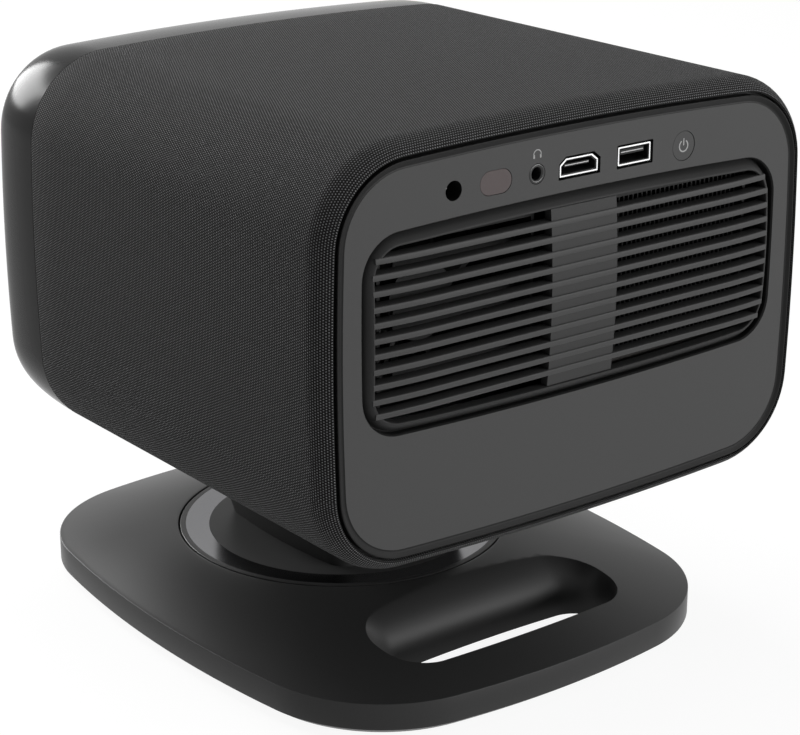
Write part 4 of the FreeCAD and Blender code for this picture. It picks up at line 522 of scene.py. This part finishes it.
# --- Neck and tilt hinge ---------------------------------------------------------------
# A die-cast neck, painted satin grey, with two cheeks that hold a steel pin. The bracket's
# knuckle tilts on the pin between two acetal washers; four screws hold it to the housing.
neck_satin = finish("satin neck casting", 0.05, 0.45, specular=0.08, scale=1200, depth=0.08)
coat(neck_satin, "neck", "hinge_cap", "tilt_bracket")
coat(finish("blackened steel", 0.05, 0.4, metallic=0.7, specular=0.2), "hinge_pin",
     "bracket_screws")
coat(acetal, "hinge_washer_left", "hinge_washer_right")


# --- Housing and what it carries -------------------------------------------------------
# A black moulded housing holds the cast light engine with its lens and focusing screw, the
# boards, two speakers, and two fans that blow through the fins behind the grille.
black_plastic = finish("black moulding", 0.012, 0.55, specular=0.3, depth=0.15)
coat(black_plastic, "body_frame", "lens_barrel", "lens_carrier", "fan_frame_left",
     "fan_frame_right", "fan_rotor_left", "fan_rotor_right", "speaker_left", "speaker_right",
     "ir_receiver", "power_switch")
coat(plated, "focus_screw", "focus_motor", "engine_mount")
coat(finish("die casting", 0.45, 0.45, metallic=0.9, scale=300, mottle=0.2), "light_engine")
coat(finish("black anodised fins", 0.012, 0.45, scale=600, specular=0.2), "heat_sink")
coat(finish("duct plastic", 0.012, 0.55, specular=0.15), "intake_duct")
coat(finish("blackened copper", 0.012, 0.5, metallic=0.2, specular=0.2, scale=300,
            tint=(1.15, 0.95, 0.85)), "heat_spreader", "heat_pipes")
coat(finish("solder resist", 0.06, 0.35, tint=(0.3, 1, 0.5), lacquer=0.3), "port_board",
     "main_board")
glass, tree, output = blank_material("coated glass")
purple = node_of(tree, "ShaderNodeTexNoise", in_Scale=9.0,
                 in_Vector=node_of(tree, "ShaderNodeTexCoord").outputs["Object"])
bloom = node_of(tree, "ShaderNodeMix", data_type="RGBA", in_0=purple.outputs[0],
                in_6=(0.9, 0.94, 1.0, 1), in_7=(0.86, 0.88, 1.0, 1))
surface = node_of(tree, "ShaderNodeBsdfPrincipled", in_Base_Color=bloom.outputs[2],
                  in_Roughness=0.02, in_IOR=1.5, in_Transmission_Weight=1.0)
tree.links.new(surface.outputs[0], output.inputs["Surface"])
coat(glass, "rear_lens", "front_lens")


# --- Woven sleeve ----------------------------------------------------------------------
# One tube of grey speaker cloth pulled over the housing. Its back edge is rolled over a
# rounded former and tucked into the groove that runs round the socket panel.
thread_pitch = 0.00085
weave, given, result = shader_group(
    "weave", [("Vector", vector, None), ("Pitch", number, thread_pitch),
              ("Thread", colour, (1, 1, 1, 1)), ("Gap", colour, (0, 0, 0, 1)),
              ("Knot Size", number, 1.4), ("Unevenness", number, 0.25)],
    [("Color", colour), ("Height", number)])
scaled = node_of(weave, "ShaderNodeVectorMath", operation="DIVIDE",
                 in_0=given.outputs["Vector"], in_1=given.outputs["Pitch"]).outputs[0]
parts = node_of(weave, "ShaderNodeSeparateXYZ", in_0=scaled).outputs
stagger = calc(weave, "MULTIPLY", calc(weave, "FLOOR", parts[1]), 0.5)
along_row = calc(weave, "ADD", parts[0], stagger)
cell_u = calc(weave, "SUBTRACT", calc(weave, "FRACT", along_row), 0.5)
cell_v = calc(weave, "SUBTRACT", calc(weave, "FRACT", parts[1]), 0.5)
round_u = calc(weave, "COSINE", calc(weave, "MULTIPLY", cell_u, math.pi))
round_v = calc(weave, "COSINE", calc(weave, "MULTIPLY", cell_v, math.pi))
knot = calc(weave, "POWER", calc(weave, "MULTIPLY", round_u, round_v),
            given.outputs["Knot Size"])
cloth_noise = node_of(weave, "ShaderNodeTexNoise", in_Vector=scaled, in_Scale=0.35,
                      in_Detail=2.0).outputs[0]
uneven = calc(weave, "MULTIPLY", calc(weave, "SUBTRACT", cloth_noise, 0.5),
              given.outputs["Unevenness"])
uneven = calc(weave, "MULTIPLY", uneven, knot)
amount = node_of(weave, "ShaderNodeMath", operation="ADD", use_clamp=True, in_0=knot,
                 in_1=uneven).outputs[0]
mixed = node_of(weave, "ShaderNodeMix", data_type="RGBA", in_0=amount,
                in_6=given.outputs["Gap"], in_7=given.outputs["Thread"])
weave.links.new(mixed.outputs[2], result.inputs["Color"])
weave.links.new(amount, result.inputs["Height"])

cloth, tree, output = blank_material("grey speaker cloth")
cloth_map = node_of(tree, "ShaderNodeUVMap", uv_map="cloth")
threads = node_of(tree, "ShaderNodeGroup", node_tree=weave, in_Vector=cloth_map.outputs[0],
                  in_Pitch=thread_pitch, in_Thread=(0.32, 0.32, 0.324, 1),
                  in_Gap=(0.003, 0.003, 0.003, 1), in_Knot_Size=4.0, in_Unevenness=0.5)
relief = node_of(tree, "ShaderNodeBump", in_Strength=0.7, in_Distance=0.00025,
                 in_Height=threads.outputs["Height"])
surface = node_of(tree, "ShaderNodeBsdfPrincipled", in_Base_Color=threads.outputs["Color"],
                  in_Roughness=0.85, in_Specular_IOR_Level=0.15, in_Normal=relief.outputs[0])
tree.links.new(surface.outputs[0], output.inputs["Surface"])

body_z, seam_y = 126.7, -38.9
roll_start, roll_r, roll_degrees, fold_r = 113.8, 10.5, 50, 0.365
roll_end_inset, roll_end_y = 3.751, 121.843
body_line, body_length = bowed_outline(half_a=95.75, half_b=66.0, corner_r=29.5,
                                       side_r=845.0, end_r=1550.0)


def body_ring(inset, y, line=body_line, centre_z=body_z):
    """Upright ring round the body at this y, this far inside its outline."""
    return [Vector((a - inset * na, y, centre_z + b - inset * nb)) * MM
            for a, b, na, nb, _ in line]


straight = roll_start - seam_y - 0.8
sleeve_profile = [(0.35, seam_y + 0.05), (0.08, seam_y + 0.35), (0.0, seam_y + 0.8)]
sleeve_profile += [(0.0, seam_y + 0.8 + straight * i / 12) for i in range(1, 13)]
sleeve_profile += [(roll_r * (1 - math.cos(t)), roll_start + roll_r * math.sin(t))
                   for t in [math.radians(roll_degrees * i / 12) for i in range(1, 13)]]
fold_start = math.radians(roll_degrees)
sleeve_profile += [(roll_end_inset + fold_r * (math.cos(fold_start) - math.cos(t)),
                    roll_end_y + fold_r * (math.sin(t) - math.sin(fold_start)))
                   for t in [fold_start + (math.pi - fold_start) * i / 6 for i in range(1, 7)]]
sleeve_profile += [(4.35, 120.6), (4.35, 118.8), (3.5, 118.8), (3.5, 120.4), (1.0, 113.8),
                   (0.9, 60.0), (0.9, seam_y + 0.05)]
heights = [0.0]
for (i0, y0), (i1, y1) in zip(sleeve_profile, sleeve_profile[1:] + sleeve_profile[:1]):
    heights.append(heights[-1] + math.hypot(i1 - i0, y1 - y0) * MM)
lengths = [point[4] * MM for point in body_line] + [body_length * MM]
sleeve_mesh = skin("woven_sleeve", [body_ring(i, y) for i, y in sleeve_profile], True, lengths,
                   heights)
place_piece("woven_sleeve", sleeve_mesh, cloth, "body", ["fabric_sleeve"], sharp=80)


# --- Front hoop and front panel --------------------------------------------------------
# A satin dark metallic hoop, moulded in one piece, closes the front of the sleeve and draws
# in towards the lens side. Its lip holds the gloss black front panel with its windows.
hoop_satin = finish("satin dark metallic", 0.016, 0.18, specular=0.05, scale=1600, depth=0.004,
                    spread=0.02)
hoop_depth, hoop_draw, lip_inset, hoop_wall, panel_seat_y = 27.5, 4.6, 8.7, 3.2, -62.2
hoop_front_y = seam_y - hoop_depth
hoop_profile = [(0.12 + hoop_draw * (1 - math.cos(t)), seam_y - hoop_depth * math.sin(t))
                for t in [math.radians(90 * i / 20) for i in range(18)]]
hoop_profile += [(4.35, hoop_front_y + 0.32), (4.9, hoop_front_y + 0.08),
                 (5.6, hoop_front_y), (8.3, hoop_front_y), (8.62, hoop_front_y + 0.15),
                 (lip_inset, hoop_front_y + 0.4), (lip_inset, panel_seat_y),
                 (hoop_wall, panel_seat_y), (hoop_wall, seam_y)]
hoop_mesh = skin("front_hoop", [body_ring(i, y) for i, y in hoop_profile], closed=True)
place_piece("front_hoop", hoop_mesh, hoop_satin, "body", ["front_ring"], sharp=40)
coat(finish("gloss black front", 0.008, 0.12, depth=0.01, spread=0.02), "front_panel")
coat(finish("smoked sensor window", 0.008, 0.1, specular=0.6, depth=0.01,
            tint=(1.6, 0.8, 0.9)), "sensor_window")
coat(glass, "lens_window")


# --- Socket panel ----------------------------------------------------------------------
# A satin dark grey moulding with a rim that is dished, let into the back of the body.
# The openings for the grille, the sockets, the window and the button are moulded through it.
# The rim's slope and the walls of the openings are painted near black as painted shade.
panel_satin = finish("satin panel grey", 0.074, 0.5, specular=0.12, scale=1400, depth=0.06)
# Painted shade: the panel's own moulding made much darker, for the rim's dish and the opening
# walls.
rim_painted_shade = finish("dished rim", 0.011, 0.42, specular=0.12, scale=1400, depth=0.04)
panel_y, panel_back, port_z, grille_z = 121.5, 118.5, 174.4, 135.7
inlet_x, window_x, phone_x, video_x, data_x, button_x = 49.1, 33.6, 18.2, 1.65, -20.45, -40.6
button_z = port_z - 0.5
panel_profile = [(5.3, panel_back), (5.3, panel_y + 0.42), (5.36, panel_y + 0.55),
                 (5.5, panel_y + 0.6), (5.7, panel_y + 0.58), (6.2, panel_y + 0.28),
                 (6.8, panel_y - 0.06), (7.2, panel_y - 0.14), (7.5, panel_y - 0.08),
                 (7.7, panel_y)]
blank_panel = skin("socket_panel", [body_ring(i, y) for i, y in panel_profile])


def prism(name, loop, y0, y1):
    """Closed prism along Y from a loop of (x, z) in millimetres."""
    return skin(name, [[Vector((x, y, z)) * MM for x, z in loop] for y in (y0, y1)])


def round_loop(x, z, radius, count=48):
    """Circle."""
    spokes = [2 * math.pi * i / count for i in range(count)]
    return [(x + radius * math.cos(t), z + radius * math.sin(t)) for t in spokes]


def stadium_loop(x, z, half_a, half_b, count=20):
    """Slot shape with round ends."""
    flat = half_a - half_b
    loop = [(x + flat + half_b * math.cos(t), z + half_b * math.sin(t))
            for t in [math.pi * (i / count - 0.5) for i in range(count + 1)]]
    return loop + [(2 * x - a, 2 * z - b) for a, b in loop]


def box_loop(x, z, half_a, half_b, corner=0.4, count=5):
    """Rectangle with rounded corners."""
    loop = []
    for sx, sz, turn in ((1, -1, -0.5), (1, 1, 0.0), (-1, 1, 0.5), (-1, -1, 1.0)):
        for t in [math.pi * (turn + 0.5 * i / count) for i in range(count + 1)]:
            loop.append((x + sx * (half_a - corner) + corner * math.cos(t),
                         z + sz * (half_b - corner) + corner * math.sin(t)))
    return loop


def cropped_loop(x, z, half_a, half_b, cut_a, cut_b):
    """Rectangle with its two upper corners cropped."""
    return [(x - half_a, z - half_b), (x + half_a, z - half_b),
            (x + half_a, z + half_b - cut_b), (x + half_a - cut_a, z + half_b),
            (x - half_a + cut_a, z + half_b), (x - half_a, z + half_b - cut_b)]


grille_line, _ = bowed_outline(half_a=81.6, half_b=31.6, corner_r=13.5, side_r=900.0,
                               end_r=1800.0, steps=(10, 12, 24))
front, behind = panel_y + 2, panel_back - 1
grille_mouth = [(0.55, behind), (0.55, panel_y - 1.1), (0.4, panel_y - 0.5), (0.0, panel_y),
                (0.0, front)]
port_loops = [round_loop(inlet_x, port_z, 2.95),
              stadium_loop(window_x, port_z, 5.98, 3.68),
              round_loop(phone_x, port_z, 3.12),
              cropped_loop(video_x, port_z, 8.15, 3.425, 2.61, 2.04),
              box_loop(data_x, port_z, 7.3, 3.6), round_loop(button_x, button_z, 4.68, 64)]
openings = [skin("opening", [body_ring(inset, y, grille_line, grille_z)
                             for inset, y in grille_mouth])]
openings += [prism("opening", loop, behind, front) for loop in port_loops]
panel_mesh = carve(blank_panel, openings)
place_piece("socket_panel", panel_mesh, panel_satin, "body", ["rear_panel"], sharp=12)
# Faces off the flat face and in front of its back (rim slope, opening walls) get the painted
# shade.
panel_mesh.materials.append(rim_painted_shade)
for face in panel_mesh.polygons:
    depth = face.center.y / MM
    if abs(depth - panel_y) > 0.01 and depth > panel_back + 0.1:
        face.material_index = 1


# --- Grille ----------------------------------------------------------------------------
# One satin moulding, snapped into the panel from behind: a border that rolls away into the
# opening, eleven crowned slats, and a middle column that lies just behind the slat fronts. The
# border and the column are painted darker than the slats, as painted shade.
grille_satin = finish("satin grille grey", 0.07, 0.45, specular=0.12, scale=1400, depth=0.05)
# Painted shade: the border is the slats' moulding made darker, for the shade at the opening's
# edge.
border_painted_shade = finish("satin border grey", 0.038, 0.45, specular=0.08, scale=1400, depth=0.05)
# Painted shade: the column is the same moulding made darker, for the shade behind the slat
# fronts.
column_painted_shade = finish("satin column grey", 0.052, 0.5, specular=0.1, scale=1400, depth=0.05)
crown, end_drop, top_drop = 2.4, 1.2, 1.0
straight_half, end_length, top_half, border_width = 56.0, 21.5, 22.9, 4.1


def crest(x, z):
    """Where the crowned front lies along Y at this place."""
    past_end = max(abs(x) - straight_half, 0.0) / end_length
    rise = (z - grille_z) / top_half
    return panel_y + crown - end_drop * min(past_end, 1.25) ** 2 - top_drop * rise ** 2


def border_ring(inset, drop=None, y=None):
    """Ring inside the opening's edge, either at y or this far behind the crest."""
    ring = []
    for a, b, na, nb, _ in grille_line:
        x, z = a - inset * na, grille_z + b - inset * nb
        ring.append(Vector((x, crest(x, z) - drop if y is None else y, z)) * MM)
    return ring


border_profile = ((border_width, 0.35), (4.0, 0.1), (3.8, 0.0), (3.4, 0.1), (2.9, 0.4),
                  (2.3, 0.95), (1.75, 1.65), (1.25, 2.5), (0.9, 3.3))
border = [border_ring(border_width, y=panel_back)]
border += [border_ring(inset, drop) for inset, drop in border_profile]
border += [border_ring(0.7, y=panel_y - 2.3), border_ring(0.7, y=panel_back)]
place_piece("grille_border", skin("grille_border", border, closed=True), border_painted_shade, "body",
            ["grille"], sharp=60)

slats, given, result = geometry_tree("slat bank", [
    ("Count", "NodeSocketInt", 11), ("Pitch", number, 0.00458),
    ("Thickness", number, 0.00185), ("Depth", number, 0.0046), ("Rounding", number, 0.0003),
    ("Hole Half Width", number, 0.078), ("Hole Half Height", number, 0.028),
    ("Hole Corner", number, 0.0099),
    ("Straight Half", number, straight_half * MM), ("End Drop", number, end_drop * MM),
    ("Top Half", number, top_half * MM), ("Top Drop", number, top_drop * MM),
    ("Centre", vector, (0, 0, 0)),
    ("Finish", "NodeSocketMaterial", None)])
size = given.outputs
line_from = node_of(slats, "ShaderNodeCombineXYZ",
                    in_X=calc(slats, "MULTIPLY", size["Hole Half Width"], -1.0))
line_to = node_of(slats, "ShaderNodeCombineXYZ", in_X=size["Hole Half Width"])
line = node_of(slats, "GeometryNodeCurvePrimitiveLine", in_Start=line_from.outputs[0],
               in_End=line_to.outputs[0])
line = node_of(slats, "GeometryNodeResampleCurve", in_Curve=line.outputs[0], in_Count=61)
section = node_of(slats, "GeometryNodeCurvePrimitiveQuadrilateral", in_Width=size["Depth"],
                  in_Height=size["Thickness"])
section = node_of(slats, "GeometryNodeFilletCurve", mode="POLY", in_Curve=section.outputs[0],
                  in_Count=3, in_Radius=size["Rounding"])
bar = node_of(slats, "GeometryNodeCurveToMesh", in_Curve=line.outputs[0],
              in_Profile_Curve=section.outputs[0], in_Fill_Caps=True)
half_stack = calc(slats, "MULTIPLY", calc(slats, "SUBTRACT", size["Count"], 1.0), 0.5)
lowest = calc(slats, "MULTIPLY", calc(slats, "MULTIPLY", half_stack, size["Pitch"]), -1.0)
start = node_of(slats, "ShaderNodeCombineXYZ", in_Z=lowest)
step = node_of(slats, "ShaderNodeCombineXYZ", in_Z=size["Pitch"])
rows = node_of(slats, "GeometryNodeMeshLine", in_Count=size["Count"],
               in_Start_Location=start.outputs[0], in_Offset=step.outputs[0])
row_z = node_of(slats, "ShaderNodeSeparateXYZ",
                in_0=node_of(slats, "GeometryNodeInputPosition").outputs[0]).outputs[2]
over = calc(slats, "ABSOLUTE", row_z)
over = calc(slats, "SUBTRACT", over, calc(slats, "SUBTRACT", size["Hole Half Height"],
                                          size["Hole Corner"]))
over = calc(slats, "MAXIMUM", over, 0.0)
left = calc(slats, "SUBTRACT", calc(slats, "POWER", size["Hole Corner"], 2.0),
            calc(slats, "POWER", over, 2.0))
lost = calc(slats, "SUBTRACT", size["Hole Corner"], calc(slats, "SQRT", left))
share = calc(slats, "SUBTRACT", 1.0, calc(slats, "DIVIDE", lost, size["Hole Half Width"]))
stretch = node_of(slats, "ShaderNodeCombineXYZ", in_X=share, in_Y=1.0, in_Z=1.0)
bank = node_of(slats, "GeometryNodeInstanceOnPoints", in_Points=rows.outputs[0],
               in_Instance=bar.outputs[0], in_Scale=stretch.outputs[0])
solid = node_of(slats, "GeometryNodeRealizeInstances", in_Geometry=bank.outputs[0])
here = node_of(slats, "ShaderNodeSeparateXYZ",
               in_0=node_of(slats, "GeometryNodeInputPosition").outputs[0]).outputs
past = calc(slats, "MAXIMUM", calc(slats, "SUBTRACT", calc(slats, "ABSOLUTE", here[0]),
                                   size["Straight Half"]), 0.0)
past = calc(slats, "DIVIDE", past, calc(slats, "SUBTRACT", size["Hole Half Width"],
                                        size["Straight Half"]))
fall = calc(slats, "MULTIPLY", calc(slats, "POWER", past, 2.0), size["End Drop"])
rise = calc(slats, "POWER", calc(slats, "ABSOLUTE", calc(
    slats, "DIVIDE", here[2], size["Top Half"])), 2.0)
fall = calc(slats, "ADD", fall, calc(slats, "MULTIPLY", rise, size["Top Drop"]))
bend = node_of(slats, "ShaderNodeCombineXYZ", in_Y=calc(slats, "MULTIPLY", fall, -1.0))
moved = node_of(slats, "ShaderNodeVectorMath", operation="ADD", in_0=bend.outputs[0],
                in_1=size["Centre"])
bent = node_of(slats, "GeometryNodeSetPosition", in_Geometry=solid.outputs[0],
               in_Offset=moved.outputs[0])
dressed = node_of(slats, "GeometryNodeSetMaterial", in_Geometry=bent.outputs[0],
                  in_Material=size["Finish"])
slats.links.new(dressed.outputs[0], result.inputs["Geometry"])
slat_mesh = grow("grille_slats", slats, {
    "Centre": (0.0, (panel_y + crown - 2.3) * MM, grille_z * MM), "Finish": grille_satin})
place_piece("grille_slats", slat_mesh, None, "body", sharp=40)

column_half, column_sink, column_reach, column_back = 12.9, 0.5, 27.3, panel_y - 2.2
levels = [grille_z - column_reach + 2 * column_reach * i / 24 for i in range(25)]
column_rings = []
for z in levels:
    fronts = [(column_half * k / 3, crest(column_half * k / 3, z) - column_sink)
              for k in range(-3, 4)]
    backs = [(column_half, column_back), (-column_half, column_back)]
    column_rings.append([Vector((x, y, z)) * MM for x, y in fronts + backs])
place_piece("grille_column", skin("grille_column", column_rings), column_painted_shade, "body",
            sharp=40)


# --- Sockets and infrared window -------------------------------------------------------
# A row of bought-in sockets on the port board. The two connector shells are folded nickel
# plated sheet round black inserts; the smoked window lies flush in the panel.
nickel = finish("nickel plated sheet", 0.86, 0.25, metallic=1.0, scale=600, depth=0.03)
black_insert = finish("black insulator", 0.01, 0.5, specular=0.2, depth=0.05)
contact_metal = finish("contact metal", 0.32, 0.35, metallic=1.0, scale=900)
shell_y = panel_y - 0.4


def sleeve_of(name, outer, inner, y0, y1):
    """Thin walled sleeve between two loops with the same number of points."""
    rings = [[Vector((x, y, z)) * MM for x, z in loop]
             for loop, y in ((outer, y0), (outer, y1), (inner, y1), (inner, y0))]
    return skin(name, rings, closed=True)


def put(name, mesh, material, replaces=(), sharp=20):
    """Places a small piece that is fixed to the body."""
    place_piece(name, mesh, material, "body", replaces, sharp)


def connector(label, loops, tongue, back, shell_start, floor_y, stands_for):
    """Folded sheet shell round an insert that has a lining, a tongue and a back plate."""
    outer, inner, lining = loops
    put(label + "_shell", sleeve_of(label + "_shell", outer, inner, shell_start, shell_y),
        nickel, [stands_for])
    put(label + "_lining", sleeve_of(label + "_lining", inner, lining, floor_y,
                                     shell_y - 0.25), black_insert)
    put(label + "_tongue", prism(label + "_tongue", tongue, floor_y, shell_y - 1.1),
        black_insert)
    put(label + "_back", prism(label + "_back", back, floor_y - 0.6, floor_y), black_insert)


connector("video", [cropped_loop(video_x, port_z, 7.4, 2.675, 2.3, 1.8),
                    cropped_loop(video_x, port_z, 6.98, 2.255, 2.13, 1.67),
                    cropped_loop(video_x, port_z, 6.6, 1.9, 2.0, 1.55)],
          box_loop(video_x, port_z + 0.3, 4.9, 0.45, 0.15),
          box_loop(video_x, port_z - 0.1, 6.9, 2.05, 0.2), 109.5, 110.5, "hdmi_socket")
connector("data", [box_loop(data_x, port_z, 6.55, 2.85, 0.35),
                   box_loop(data_x, port_z, 6.12, 2.42, 0.2),
                   box_loop(data_x, port_z, 5.85, 2.15, 0.1)],
          box_loop(data_x, port_z + 0.85, 4.85, 0.75, 0.15),
          box_loop(data_x, port_z, 6.0, 2.3, 0.2), 108.5, 108.5, "usb_socket")
contacts = [prism("contacts", box_loop(x, z, half, 0.13, 0.05), shell_y - 1.12, shell_y - 1.0)
            for x, z, half in ((video_x, port_z + 0.3, 4.6), (data_x, port_z + 0.85, 4.5))]
put("socket_contacts", join_meshes("socket_contacts", contacts), contact_metal)

ring_r, phone_hole_r, phone_floor = 3.05, 1.8, 109.5
ring_profile = [(ring_r, panel_back), (ring_r, panel_y - 0.15), (2.85, panel_y + 0.02),
                (2.25, panel_y + 0.02), (1.95, panel_y - 0.25),
                (phone_hole_r, panel_y - 0.6), (phone_hole_r, phone_floor),
                (ring_r, phone_floor)]
put("headphone_ring", turned("headphone_ring", ring_profile, phone_x, port_z),
    finish("black socket ring", 0.016, 0.25, specular=0.4, depth=0.02),
    ["headphone_jack"], sharp=45)
inlet_r, inlet_hole_r, inlet_floor, inlet_mouth, pin_r = 4.2, 2.95, 108.5, 118.45, 0.85
barrel_profile = [(inlet_r, inlet_mouth), (inlet_hole_r, inlet_mouth),
                  (inlet_hole_r, inlet_floor), (inlet_r, inlet_floor)]
put("power_inlet", turned("power_inlet", barrel_profile, inlet_x, port_z), black_insert,
    ["dc_jack"], sharp=45)
pin_profile = [(0.01, 107.5), (pin_r, 107.5), (pin_r, 117.3), (0.55, 117.7), (0.01, 117.7)]
put("inlet_pin", turned("inlet_pin", pin_profile, inlet_x, port_z, 24), contact_metal,
    sharp=45)
floor_profile = [(0.01, inlet_floor - 0.6), (inlet_r, inlet_floor - 0.6),
                 (inlet_r, inlet_floor), (0.01, inlet_floor)]
put("inlet_floor", turned("inlet_floor", floor_profile, inlet_x, port_z, 32), black_insert,
    sharp=45)

smoke = finish("smoked infrared window", 0.086, 0.35, specular=0.2, depth=0.02, spread=0.02,
               tint=(1.14, 0.92, 0.92))
window_steps = ((0, panel_back), (0, panel_y - 0.17), (0.12, panel_y - 0.05))
window_rings = [[Vector((x, y, z)) * MM
                 for x, z in stadium_loop(window_x, port_z, 5.9 - inset, 3.6 - inset)]
                for inset, y in window_steps]
put("infrared_window", skin("infrared_window", window_rings), smoke, ["ir_window"])


# --- Power button and printed marks ----------------------------------------------------
# A round satin cap moves in the panel, kept in by the flat flange behind it, and carries the
# usual power sign. The headphone sign stands above its socket. Both are thin grey print.
ink = finish("grey print", 0.42, 0.6, specular=0.2, mottle=0.1)
cap_r, cap_back = 4.6, 118.35
cap_profile = [(0.01, cap_back), (cap_r, cap_back), (cap_r, panel_y - 0.22),
               (cap_r - 0.15, panel_y - 0.07), (0.01, panel_y - 0.05)]
power_cap = join_meshes("power_cap", [
    turned("cap", cap_profile, button_x, button_z),
    prism("flange", box_loop(button_x, button_z, 5.9, 3.2), 117.25, cap_back + 0.05)])
place_piece("power_cap", power_cap, panel_satin, "power_button", ["power_button"],
            sharp=20)


def stroke_loop(x, z, radius, width, start, end, count=28):
    """Outline of a curved stroke with round ends, angles in degrees."""
    a0, a1 = math.radians(start), math.radians(end)
    half = width / 2
    sweep = [a0 + (a1 - a0) * i / count for i in range(count + 1)]
    turns = [math.pi * i / 6 for i in range(1, 6)]

    def at(r, t):
        return x + r * math.cos(t), z + r * math.sin(t)

    def round_end(angle, begin):
        cx, cz = at(radius, angle)
        return [(cx + half * math.cos(begin + t), cz + half * math.sin(begin + t))
                for t in turns]

    return ([at(radius + half, t) for t in sweep] + round_end(a1, a1)
            + [at(radius - half, t) for t in reversed(sweep)] + round_end(a0, a0 + math.pi))


ink_height, sign_y, phone_sign_z = 0.03, panel_y - 0.06, 180.1
power_sign = [prism("sign", loop, sign_y, sign_y + ink_height) for loop in (
    stroke_loop(button_x, button_z, 1.75, 0.42, 125, 415),
    box_loop(button_x, button_z + 1.25, 0.2, 1.15, 0.19))]
place_piece("power_sign", join_meshes("power_sign", power_sign), ink, "power_button")
phone_sign_y = panel_y - 0.01
phone_sign = [prism("sign", loop, phone_sign_y, phone_sign_y + ink_height) for loop in (
    stroke_loop(phone_x, phone_sign_z, 1.45, 0.32, 0, 180),
    box_loop(phone_x - 1.25, phone_sign_z - 0.45, 0.3, 0.6, 0.25),
    box_loop(phone_x + 1.25, phone_sign_z - 0.45, 0.3, 0.6, 0.25))]
put("headphone_sign", join_meshes("headphone_sign", phone_sign), ink)
